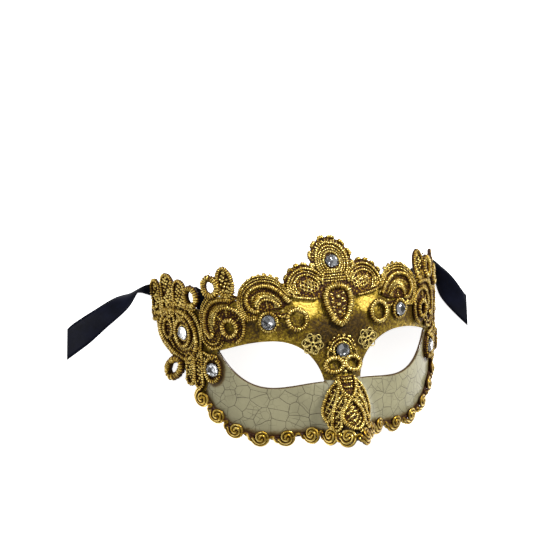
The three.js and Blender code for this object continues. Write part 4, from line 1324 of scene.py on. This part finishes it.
def bridge_threads(sizes):
    t = Threadwork(sizes)
    cu, cv = BRIDGE_STONE
    t.lay(arc(cu, cv, 4.9, None, -30, 210), 1.7, 0.85, depth=0.2)
    t.beaded(arc(cu, cv + 0.6, 6.6, None, -8, 188), 1.4, 0.6)
    picots(t, (cu, cv + 0.8), 7.7, -4, 184, 8, 0.7, 1.2)
    for side in SIDES:
        rope_ring(t, (side * BRIDGE_RING[0], BRIDGE_RING[1]), (6.0, 5.2), (3.1, 2.3), side * -8, 0.4)
    t.knot(0, -4.4, 2.0, 1.3)
    t.knot(0, -11.8, 1.3, 1.0)
    for side in SIDES:
        t.curve([(side * 6.6, 1.4), (side * 8.4, -2.2), (side * 7.4, -4.4)], 1.3, 0.7)
    return t


def bridge_ground():
    rosette = scalloped(0, 1.2, 6.6, 8, 0.9, -20, 200)
    rings = [loop(side * 5.1, -8, 5.6, 4.8) for side in SIDES]
    holes = [loop(side * BRIDGE_RING[0], BRIDGE_RING[1], 3.5, 2.7) for side in SIDES]
    return Region([rosette, loop(0, -3.4, 5.6), *rings], holes)


OUTER_LEAF = [(4.4, -16.4), (8.2, -20.6), (10.6, -25.4), (12.2, -30.4), (12.6, -35.4), (11, -38.6),
              (8.8, -35), (7.2, -29), (5.2, -22.6)]
INNER_LEAF = [(2.6, -23.2), (5.4, -25.8), (7.8, -30.6), (8.8, -36), (9.4, -41.6), (7.2, -41.8), (5.4, -37.4),
              (4.8, -32), (2.8, -28)]
NOSE_HEART = [(0, -25.6), (2.2, -28.6), (4.3, -32.8), (4.6, -36), (2.8, -39), (0, -41)]


def nose_heart():
    return spline(NOSE_HEART + [(-u, v) for u, v in NOSE_HEART[-2:0:-1]], closed=True)


def nose_threads(sizes):
    t = Threadwork(sizes)
    ladder = [(-4.0, -14.0), (-4.0, -18), (-2.8, -22.2), (0, -25), (2.8, -22.2), (4.0, -18), (4.0, -14.0)]
    t.curve(ladder, 1.8, 1.15, pitch=1.2, depth=0.22)
    for v, wide in ((-15.4, 2.8), (-17.2, 2.6), (-19.8, 2.0)):
        t.lay([(-wide, v), (wide, v)], 1.6, 0.6, pitch=1.4, depth=0.3)
    for side in SIDES:
        for line, way in ((OUTER_LEAF, 64), (INNER_LEAF, 58)):
            edge = spline([(side * u, v) for u, v in line], closed=True)
            t.lay(edge, 1.7, 1.0, closed=True, pitch=1.2, depth=0.22)
            netting(t, Region([edge]), 2.0, -side * way, 0.55, 1.35, 0.6)
            netting(t, Region([edge]), 2.6, side * 20, 0.42, 1.5, 0.6)
        t.curve([(side * u, v) for u, v in NOSE_HEART], 2.1, 1.2, pitch=1.2, depth=0.22)
        t.curve([(side * 1.2, -42.4), (side * 4, -41.4), (side * 6.4, -42.6)], 1.4, 0.9)
        t.curve([(side * 11.4, -37.6), (side * 10.8, -40.6), (side * 8.8, -42.6)], 1.3, 0.9)
    scattered(t, Region([nose_heart()]), 2.2, 0.75, 1.5, 1.1)
    netting(t, Region([nose_heart()]), 2.0, 40, 0.4, 1.3, 0.8)
    return t


def nose_ground():
    outlines = [np.concatenate([arc(0, -18.6, 4.6, 6.0, 180, 360), [(4.6, -14.0), (-4.6, -14.0)]])]
    for line in (OUTER_LEAF, INNER_LEAF):
        edge = spline(line, closed=True)
        outlines += [edge, mirrored(edge)[::-1]]
    return Region(outlines + [nose_heart()])


class MASK_OT_nose_lace(Maker, bpy.types.Operator):
    """Builds the lace of the bridge and the nose"""

    bl_idname = "half_mask.nose_lace"
    bl_label = "Bridge and nose lace"

    def build(self, mask):
        lace(mask, bridge_ground(), bridge_threads(mask.lace), "bridge_lace", paired=False)
        lace(mask, nose_ground(), nose_threads(mask.lace), "nose_lace", paired=False, spacing=0.8)


PETALS = 6
PETAL_TURN = 12


class MASK_OT_flowers(Maker, bpy.types.Operator):
    """Builds the wire filigree flowers beside the bridge"""

    bl_idname = "half_mask.flowers"
    bl_label = "Filigree flowers"

    def build(self, mask):
        t = Threadwork(mask.lace)
        t.lay(loop(*FLOWER, 1.1), 1.2, 0.4, closed=True, depth=0.0)
        for k in range(PETALS):
            facing = 360 / PETALS * k + PETAL_TURN
            t.lay(loop(*self.spot(3.7, facing), 2.5, 1.95, facing), 0.95, 0.3, closed=True, depth=0.0)
            for way in SIDES:
                curl_at = self.spot(3.9, facing, way * 0.85)
                t.lay(arc(*curl_at, 0.75, None, 200 * way, -100 * way, facing), 1.25, 0.22, depth=0.0)
            t.knot(*self.spot(5.0, facing + 180 / PETALS), 0.9, 0.5)
        piece = t.swept("flower_wired_right", mask.face, known_finish("worn_wire", worn_wire, mask.colours))
        hand_over(twin(piece, "flower_wired_left"), "filigree", "flower_left")
        hand_over(piece, "filigree", "flower_right")

    def spot(self, out, facing, aside=0.0):
        """A point of the flower, out from its middle towards a facing and aside from that line."""
        c, s = math.cos(math.radians(facing)), math.sin(math.radians(facing))
        return FLOWER[0] + out * c - aside * s, FLOWER[1] + out * s + aside * c


# The shell.

def piecewise(value, pairs):
    return np.interp(value, *np.transpose(pairs))


def near(distance, reach):
    """1 on a shape, fading away outside it."""
    return np.exp(-(np.clip(distance, 0, None) / reach) ** 2)


GILT_BORDER = [(0, -16), (13, -16), (14, -8), (66, -8), (73.6, -0.4), (78, -10), (84, -24), (90, -40)]


def shell_marks(flat, region):
    """Where the shell is gilt, how bright its leaf is and where it is soiled, from flat places; the leaf's
    brightness holds a painted highlight beside the crest and painted shade under the flowers.
    """
    side, v = np.abs(flat[:, 0]), flat[:, 1]
    place = np.column_stack([side, v])
    gilt = np.clip(0.5 + (v - piecewise(side, GILT_BORDER)) / 3, 0, 1)
    edge = -sdf(flat[:, :2], region.outlines[0])
    eye = sdf(place, region.holes[0])
    braid = np.where(v < -14, np.exp(-(edge / 4.8) ** 2), 0)
    nose = near(sdf(place, leaf(4, -16.5, 12.6, -38.6, 6)), 1.4) * 0.55
    foot = np.exp(-(side / 12) ** 4) * np.clip((-34 - v) / 3, 0, 1)
    loops = near(sdf(place, loop(*LOOP_STONE, 6.4, 8.6)), 2.2) * 0.8
    temple = np.clip((side - 80) / 6, 0, 1)
    rim = np.clip((0.8 - eye) / 0.5, 0, 1) * (v < -0.5)
    stain = np.clip(np.max([braid, nose, foot, loops, temple, rim], axis=0), 0, 1)
    # Painted highlight: a patch of bright leaf beside the crest.
    bright = 0.62 * np.exp(-((side - 19) / 6.5) ** 4 - ((v - 24) / 4.6) ** 4)
    bridge = -0.27 * np.exp(-(side / 19) ** 4 - ((v - 10.5) / 9.5) ** 4)
    band = 0.13 * near(eye - 2, 3) * (v > -4)
    between = -0.16 * np.exp(-((side - 52) / 8) ** 2 - ((v - 14) / 6) ** 2)
    # Painted shade: the leaf is darker under the filigree flower.
    flower_shade = -0.16 * np.exp(-(np.hypot(side - FLOWER[0], v - FLOWER[1]) / 5.6) ** 6)
    return gilt, stain, 0.4 + bright + bridge + band + between + flower_shade


def cut_at_table(mesh):
    """Takes off what lies under the table's top and closes the cut."""
    body = bmesh.new()
    body.from_mesh(mesh)
    whole = list(body.verts) + list(body.edges) + list(body.faces)
    bmesh.ops.bisect_plane(body, geom=whole, dist=1e-7, plane_co=(0, 0, 0), plane_no=(0, 0, 1),
                           clear_inner=True)
    bmesh.ops.holes_fill(body, edges=[e for e in body.edges if e.is_boundary], sides=0)
    bmesh.ops.triangulate(body, faces=[f for f in body.faces if len(f.verts) > 4])
    body.to_mesh(mesh)
    body.free()


def taken_float(mesh, name):
    """The values of an attribute, which is taken off the mesh."""
    values = np.empty(len(mesh.vertices), np.float32)
    mesh.attributes[name].data.foreach_get("value", values)
    mesh.attributes.remove(mesh.attributes[name])
    return values.astype(float)


class MASK_OT_shell(Maker, bpy.types.Operator):
    """Builds the moulded shell, gilt above and crackled below"""

    bl_idname = "half_mask.shell"
    bl_label = "Shell"

    def build(self, mask):
        region = shell_region()
        rows, faces, under = sheet_mesh(region, 1.6, -mask.face.thickness / MM, 0.0)
        points, _ = on_face(mask.face, rows)
        finish = known_finish("gilt_and_crackle", gilt_and_crackle, mask.colours)
        piece = mesh_object("shell_moulded", points, faces, finish)
        mesh = piece.data
        for label, values in (("flat_u", rows[:, 0]), ("flat_v", rows[:, 1]), ("inside", under)):
            set_float(mesh, label, values)
        cut_at_table(mesh)
        flat = np.column_stack([taken_float(mesh, "flat_u"), taken_float(mesh, "flat_v")])
        for label, values in zip(("gilt", "stain", "shine"), shell_marks(flat, region)):
            set_float(mesh, label, values)
        set_flat_map(mesh, flat)
        mesh.polygons.foreach_set("use_smooth", [True] * len(mesh.polygons))
        hand_over(piece, "shell_finish", "mask_shell")


# The crystals.

STONES = [
    ("rhinestone_crest", CREST_TOP, 0.0), ("rhinestone_bridge", BRIDGE_STONE, 0.9),
    ("rhinestone_brow_right", BROW_STONE, 0.0), ("rhinestone_loop_right", LOOP_STONE, 0.0),
    ("rhinestone_temple_right", TEMPLE_STONE, 0.0),
]
STONE_LIFT = 2.05
FACETS = 16
CUP_FLOOR = 0.42
# Radius, height, corners and shift of each ring of a stone's corners, from the table down, in millimetres.
STONE_RINGS = ((2.0, 1.9, 8, 0), (3.02, 1.38, 8, 0.5), (3.7, 0.62, FACETS, 0), (3.7, 0.45, FACETS, 0))
CULET = (0, 0, 0.2)


def ring_of(radius, height, count, shift=0.0):
    return [(radius * math.cos(2 * math.pi * (k + shift) / count),
             radius * math.sin(2 * math.pi * (k + shift) / count), height) for k in range(count)]


def cut_stone(name, material):
    """A cut crystal in millimetres, the hull of its corners."""
    body = bmesh.new()
    for corner in [p for ring in STONE_RINGS for p in ring_of(*ring)] + [CULET]:
        body.verts.new(corner)
    hull = bmesh.ops.convex_hull(body, input=list(body.verts))
    bmesh.ops.delete(body, geom=hull["geom_unused"], context="VERTS")
    bmesh.ops.recalc_face_normals(body, faces=list(body.faces))
    mesh = bpy.data.meshes.new(name)
    body.to_mesh(mesh)
    body.free()
    mesh.materials.append(material)
    return linked(name, mesh)


def foil_cup(depth):
    """The silvered cup under a crystal, faceted so that it throws the light about."""
    rings = [ring_of(3.9, CUP_FLOOR, FACETS), ring_of(2.0, 0.14, FACETS, 0.5), ring_of(3.9, -depth, FACETS)]
    points = [p for ring in rings for p in ring] + [(0, 0, 0.02), (0, 0, -depth)]
    middle, foot = len(points) - 2, len(points) - 1
    faces = []
    for k in range(FACETS):
        n = (k + 1) % FACETS
        floor, low = FACETS, 2 * FACETS
        faces += [(k, n, floor + k), (floor + k, n, floor + n), (floor + k, floor + n, middle),
                  (n, k, low + k, low + n), (low + n, low + k, foot)]
    return points, faces


class MASK_OT_stones(Maker, bpy.types.Operator):
    """Builds the cut crystals in their foil cups"""

    bl_idname = "half_mask.stones"
    bl_label = "Crystals"

    def build(self, mask):
        clear = known_finish("cut_crystal", crystal, mask.colours)
        foil = known_finish("silver_foil", silver_foil, mask.colours)
        for node, (u, v), lift in STONES:
            foot, axis = on_face(mask.face, [u, v, STONE_LIFT + lift])
            axis = Vector(axis)
            level = Vector((0, 1, 0)).cross(axis).normalized()
            turn = Matrix((level, axis.cross(level), axis)).transposed().to_4x4()
            stone = cut_stone(node, clear)
            cup = mesh_object(node + "_cup", *foil_cup(STONE_LIFT - GROUND_TOP + lift), foil, smooth=False)
            piece = joined("cut_" + node, [stone, cup])
            piece.data.transform(Matrix.Translation(Vector(foot)) @ turn @ Matrix.Scale(MM, 4))
            if node.endswith("_right"):
                left = node.replace("_right", "_left")
                hand_over(twin(piece, "cut_" + left), "crystal", left)
            hand_over(piece, "crystal", node)


# The rosette braid.

BRAID_EDGE = [(89.6, -26.4), (84.2, -30.2), (74.2, -37.8), (62.2, -45.2), (47, -49.2), (32, -49),
              (19.2, -46.7), (11.5, -45.3), (5, -44.5), (0, -44.3)]
ROSETTES = (3.8, 17.3, 31.3, 46.8, 61.6, 76.4, 89.6, 102.2, 115.4, 131.2, 146.6, 161.8, 176.4, 190.4, 203.6,
            215.2)
BRAID_STRANDS = (-0.9, 0.9)
BRAID_STRAND = 0.93
# Radius of the braid's core, a dark cord of painted shade under the gaps.
BRAID_SHADE_CORE = 1.25
COIL_PITCH = 3.55
COIL_OUTER = 4.8
COIL_START = 200
COIL_TURN = 475
COIL_TILT = 0.65
COIL_STEP = 19
BRAID_RUN = 218


def rosette_stations(n):
    """Rosette n in its own frame: x along the edge, y up the face, z outward, and the strands' twist."""
    turned = math.pi * n
    if n:
        rows = [(-6.9, -0.2, 1.1, turned - 0.6), (-6.0, -1.3, 1.1, turned)]
    else:
        rows = [(-4.6, 4.4, 0.7, turned), (-5.2, 1.0, 1.0, turned)]
    for turn in np.arange(COIL_START, COIL_START + COIL_TURN + 1, COIL_STEP):
        share = (turn - COIL_START) / COIL_TURN
        radius = max(COIL_OUTER - COIL_PITCH * (turn - COIL_START) / 360, 0.15)
        a = math.radians(turn)
        rows.append((radius * math.cos(a), radius * math.sin(a), 1.3 + 1.3 * share ** 1.3, turned))
    rows.append((0.9, 0.1, 1.5, turned + 0.4))
    if n < len(ROSETTES) - 1:
        rows += [(2.6, -0.1, 0.6, turned + 0.9), (4.6, 0.4, 0.5, turned + 1.6), (6.1, 0.6, 0.9, turned + 2.3)]
    else:
        rows += [(2.4, 1.6, 0.6, turned), (4.2, 3.6, 0.6, turned), (4.9, 5.4, 0.6, turned)]
    return rows


def braid_strands(face):
    """The two strands of the braid and its core, a dark cord of painted shade under the gaps: points in
    place, the side painted bright, and the radius.
    """
    right = np.array(BRAID_EDGE, float)
    edge = spline(np.concatenate([mirrored(right[:-1]), right[::-1]]), 0.4)
    line, _ = on_face(face, lifted(edge, 2.3))
    run = run_along(line)
    rows = []
    for n, place in enumerate(ROSETTES):
        k = int(np.searchsorted(run, run[-1] * place / BRAID_RUN))
        foot, out = on_face(face, lifted(edge[k:k + 1], 0.1))
        ahead = line[min(k + 8, len(line) - 1)] - line[max(k - 8, 0)]
        out = out[0]
        ahead = ahead - out * (ahead @ out)
        ahead /= np.linalg.norm(ahead)
        up = np.cross(out, ahead)
        for x, y, z, twist in rosette_stations(n):
            spot = foot[0] + MM * (x * ahead + y * up + z * out)
            lean = out + COIL_TILT / COIL_OUTER * (x * ahead + y * up)
            rows.append([*(spot / MM), *(lean * 4), twist])
    way = spline(rows, 0.3)
    centre, out, twist = way[:, :3] * MM, way[:, 3:6], way[:, 6:]
    out = unit(out)
    ahead = np.gradient(centre, axis=0)
    side = unit(np.cross(ahead, out))
    up = np.cross(side, unit(ahead))
    swing = np.cos(twist) * side + np.sin(twist) * up
    core, core_out = on_face(face, lifted(finely(edge, 0.4), 0.25))
    strands = [(centre + offset * MM * swing, out, BRAID_STRAND) for offset in BRAID_STRANDS]
    # The core's outward is turned under, so its top takes the dark lower half of the gilt: painted shade in
    # the gaps between the rosettes and the shell.
    return strands + [(core, -core_out, BRAID_SHADE_CORE)]


class MASK_OT_braid(Maker, bpy.types.Operator):
    """Builds the rosette braid along the lower edge"""

    bl_idname = "half_mask.braid"
    bl_label = "Rosette braid"

    def build(self, mask):
        t = Threadwork(mask.lace)
        for strand in braid_strands(mask.face):
            t.lay_placed(*strand)
        gilt = known_finish("smooth_gilt", smooth_gilt, mask.colours)
        piece = t.swept("rosette_braid_coiled", mask.face, gilt, lumps=0.25)
        above_table(piece)
        hand_over(piece, "gilded_braid", "rosette_braid")


# The satin ties. Stations are a point and the ribbon's width there, on the right-hand side.

WALL_STATIONS = [(78, 24), (81.5, 24.7), (85, 25.4), (88.5, 26.2), (92, 27)]
WALL_DEPTH = -2.3
DROP_STATIONS = [(69, 39.4, 24.5, 0, 0.9, -0.1), (66, 36.9, 17, 0, 0.85, 0.35),
                 (61, 36.2, 10.5, 0, 0.5, 0.85)]
HANK_ROWS = (36, 30, 24, 18)
HANK_MIDDLE = 7.95
HANK_START = 54
HANK_OUTER = 66
HANK_INNER = {"left": 29, "right": 20}
HANK_TURN = 2.6
TAIL_START = [
    (72.8, 18.4, 7.95, 0, 0, 1), (76.2, 21.5, 7.8, 0, 0, 0.97), (77.7, 29, 7.2, 0, 0, 0.88),
    (79.6, 38, 6.2, 0.05, 0, 0.74), (83.2, 44.8, 4.3, -0.15, 0.25, 0.48), (87, 48.6, 2.9, -0.05, 0.4, 0.25),
]
TAIL_END = {
    "left": [
        (91.2, 50.2, 3.0, 0, 0.35, 0.3), (97, 49.4, 4.3, 0.03, 0.04, 0.45),
        (107.3, 43.8, 4.2, -0.3, -0.52, 0.4), (121.1, 35.7, 1.9, -0.42, -0.72, 0.15),
        (132, 29, 0.7, -0.5, -0.84, 0), (141.2, 23.4, 0.7, 0.15, -1.18, 0),
    ],
    "right": [
        (91, 49.2, 2.9, 0.04, 0.38, 0.25), (94, 45, 3.8, 0.25, 0.22, 0.42),
        (96.6, 39.4, 4.4, 0.48, 0.33, 0.44), (100, 32.5, 3.7, 0.66, 0.5, 0.36),
        (106, 24.5, 1.9, 0.66, 0.6, 0.14), (112.1, 18.5, 0.7, 0.14, 1.3, 0),
    ],
}
TIE_PLACE = 46
TIE_RADIUS = 0.36
TABLE_GAP = 0.0001


def hank_stations(side):
    """The rows of the hank, to and fro, with the turns between them."""
    rows = []
    for k, y in enumerate(HANK_ROWS):
        inner, outer = HANK_INNER[side], HANK_OUTER if k else HANK_START
        start, end, away = (inner, outer, HANK_TURN) if k % 2 else (outer, inner, -HANK_TURN)
        spots = [(x, y) for x in np.linspace(start, end, 6)]
        if y != HANK_ROWS[-1]:
            spots += [(end + 0.8 * away, y - 1.0), (end + away, y - 3), (end + 0.8 * away, y - 5.0)]
        rows += [(*spot, HANK_MIDDLE, 0, 0, 1) for spot in spots]
    return rows


def ribbon_stations(face, side):
    flat = np.array([(u, v, WALL_DEPTH) for u, v in WALL_STATIONS])
    at, _ = on_face(face, flat)
    above, _ = on_face(face, flat + [0, 1, 0])
    shift = face.shift / MM
    rows = [(*(p / MM - [0, shift, 0]), *((q - p) / np.linalg.norm(q - p))) for p, q in zip(at, above)]
    rows += DROP_STATIONS + hank_stations(side) + TAIL_START + TAIL_END[side]
    rows = np.array(rows) + [0, shift, 0, 0, 0, 0]
    if side == "left":
        rows[:, [0, 3]] *= -1
    return rows


def ribbon_strip(way, width, thickness):
    """A thin closed strip along its way, hollowed where it is gathered, and its flat UV places."""
    centre, wide = way[:, :3] * MM, way[:, 3:]
    ahead = np.gradient(centre, axis=0)
    ahead /= np.linalg.norm(ahead, axis=1, keepdims=True)
    through = unit(np.cross(ahead, wide))
    gathered = np.clip(1 - np.linalg.norm(wide, axis=1), 0, 0.6)
    run = run_along(centre)
    shares = np.linspace(-1, 1, 9)
    ring = [(s, 1) for s in shares] + [(s, -1) for s in shares[::-1]]
    points, flat = [], []
    for s, face in ring:
        hollow = gathered * 0.16 * width * (1 - s * s)
        edge = thickness / 2 * (1.0 if abs(s) < 1 else 0.55)
        points.append(centre + wide * (s * width / 2) + through * (hollow + face * edge)[:, None])
        flat.append(np.column_stack([run / MM, np.full(len(run), s * width / 2 / MM)]))
    count, last = len(ring), (len(centre) - 1) * len(ring)
    points = np.stack(points, 1).reshape(-1, 3)
    flat = np.stack(flat, 1).reshape(-1, 2)
    faces = []
    for i in range(0, last, count):
        for a, b in chained(0, count):
            faces.append((i + a, i + b, i + count + b, i + count + a))
    faces += [tuple(range(count))[::-1], tuple(range(last, last + count))]
    return points, faces, flat


class MASK_OT_ribbons(Maker, bpy.types.Operator):
    """Builds the satin ties, put away in hanks under the mask"""

    bl_idname = "half_mask.ribbons"
    bl_label = "Satin ties"

    def build(self, mask):
        satin = known_finish("navy_satin", navy_satin, mask.colours)
        for side in ("left", "right"):
            way = spline(ribbon_stations(mask.face, side), 1.2)
            points, faces, flat = ribbon_strip(way, mask.ribbon.width, mask.ribbon.thickness)
            points[:, 2] = np.maximum(points[:, 2], TABLE_GAP)
            piece = mesh_object(f"ribbon_{side}_satin", points, faces, satin)
            body = bmesh.new()
            body.from_mesh(piece.data)
            bmesh.ops.recalc_face_normals(body, faces=list(body.faces))
            body.to_mesh(piece.data)
            body.free()
            set_flat_map(piece.data, flat)
            tie = self.tie(mask, side, satin)
            hand_over(piece, "satin", f"ribbon_{side}", f"ribbon_{side}_slack", f"ribbon_{side}_lead")

    def tie(self, mask, side, satin):
        """The thread that holds a hank together."""
        x = -TIE_PLACE if side == "left" else TIE_PLACE
        shift = mask.face.shift / MM
        low, high, front, back = 0.45, 15.9, 17.0 + shift, 37.0 + shift
        corners = [(front + 1, low), (back - 1, low), (back, low + 1), (back, high - 1), (back - 1, high),
                   (front + 1, high), (front, high - 1), (front, low + 1)]
        rows = spline([(x, *corner) for corner in corners], 0.4, closed=True)
        t = Threadwork(mask.lace)
        t.lay_placed(rows * MM, np.tile([0.0, 0.0, 1.0], (len(rows), 1)), TIE_RADIUS, closed=True)
        piece = t.swept(f"ribbon_{side}_tie", mask.face, satin)
        above_table(piece)
        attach(piece, BODY)
        return piece


# The stage.

SENSOR_WIDTH = 36
TABLE_REACH = 2.5
# Name, place and size of each lamp, in metres.
LAMPS = (("key", (0.5, 0.6, 1.1), 0.24), ("fill", (-0.8, 0.1, 1.0), 0.7))


class MASK_OT_stage(Maker, bpy.types.Operator):
    """Builds the table, the lights and the camera"""

    bl_idname = "half_mask.stage"
    bl_label = "Stage"

    def build(self, mask):
        scene, stage = bpy.context.scene, mask.stage
        scene.camera = self.camera(stage)
        self.table(stage)
        for name, place, size in LAMPS:
            data = bpy.data.lights.new(name, "AREA")
            data.shape = "DISK"
            data.size = size
            data.energy = getattr(stage, name + "_power")
            lamp = linked(name, data)
            lamp.location = place
            lamp.rotation_euler = (-Vector(place)).to_track_quat("-Z", "Y").to_euler()
        scene.world = bpy.data.worlds.new("studio")
        scene.world.use_nodes = True
        background = scene.world.node_tree.nodes["Background"].inputs
        background["Color"].default_value = (1, 1, 1, 1)
        background["Strength"].default_value = stage.sky
        scene.view_settings.view_transform = "Standard"

    def camera(self, stage):
        place, aim = Vector(stage.camera_place), Vector(stage.camera_aim)
        ahead = (aim - place).normalized()
        level = ahead.cross(Vector((0, 1, 0))).normalized()
        up = level.cross(ahead)
        c, s = math.cos(stage.camera_roll), math.sin(stage.camera_roll)
        right, top = c * level + s * up, c * up - s * level
        data = bpy.data.cameras.new("camera")
        data.sensor_width = SENSOR_WIDTH
        data.lens = stage.camera_lens
        camera = linked("camera", data)
        camera.matrix_world = Matrix.Translation(place) @ Matrix((right, top, -ahead)).transposed().to_4x4()
        return camera

    def table(self, stage):
        f = Finish("table_top")
        f.shader({"Base Color": (0.92, 0.92, 0.92, 1), "Roughness": 0.7, "Emission Color": (1, 1, 1, 1),
                  "Emission Strength": stage.glow})
        corners = TABLE_REACH * np.array([(-1, -1, 0), (1, -1, 0), (1, 1, 0), (-1, 1, 0)]) - [0, 0, TABLE_GAP]
        mesh_object("table_top", corners, [(0, 1, 2, 3)], f.material, False)


# The add-on.

class MaskSettings(bpy.types.PropertyGroup):
    """All sizes and colours of the mask."""

    face: PointerProperty(type=FaceSizes, name="Face", description="The curved face")
    lace: PointerProperty(type=LaceSizes, name="Lace", description="The lace's threads")
    ribbon: PointerProperty(type=RibbonSizes, name="Ribbon", description="The satin ties")
    colours: PointerProperty(type=MaskColours, name="Colours", description="The finishes' colours")
    stage: PointerProperty(type=StageSizes, name="Stage", description="Table, light and camera")


PIECES = (MASK_OT_stage, MASK_OT_ribbons, MASK_OT_shell, MASK_OT_crest_lace, MASK_OT_brow_lace,
          MASK_OT_scroll_lace, MASK_OT_temple_lace, MASK_OT_nose_lace, MASK_OT_flowers, MASK_OT_stones,
          MASK_OT_braid)


class MASK_PT_pieces(bpy.types.Panel):
    """Lists the mask's pieces and settings"""

    bl_idname = "MASK_PT_pieces"
    bl_label = "Half Mask"
    bl_space_type = "VIEW_3D"
    bl_region_type = "UI"
    bl_category = "Half Mask"

    def draw(self, context):
        for piece in PIECES:
            self.layout.operator(piece.bl_idname)
        for name in ("face", "lace", "ribbon", "colours", "stage"):
            group = getattr(context.scene.half_mask, name)
            box = self.layout.box()
            box.label(text=name.capitalize())
            for label in group.__annotations__:
                box.prop(group, label)


CLASSES = (FaceSizes, LaceSizes, RibbonSizes, MaskColours, StageSizes, MaskSettings, *PIECES, MASK_PT_pieces)


def register():
    for kind in CLASSES:
        bpy.utils.register_class(kind)
    bpy.types.Scene.half_mask = PointerProperty(type=MaskSettings)


def unregister():
    del bpy.types.Scene.half_mask
    for kind in reversed(CLASSES):
        bpy.utils.unregister_class(kind)


def main():
    register()
    for piece in PIECES:
        group, name = piece.bl_idname.split(".")
        getattr(getattr(bpy.ops, group), name)()


if __name__ == "__main__":
    main()
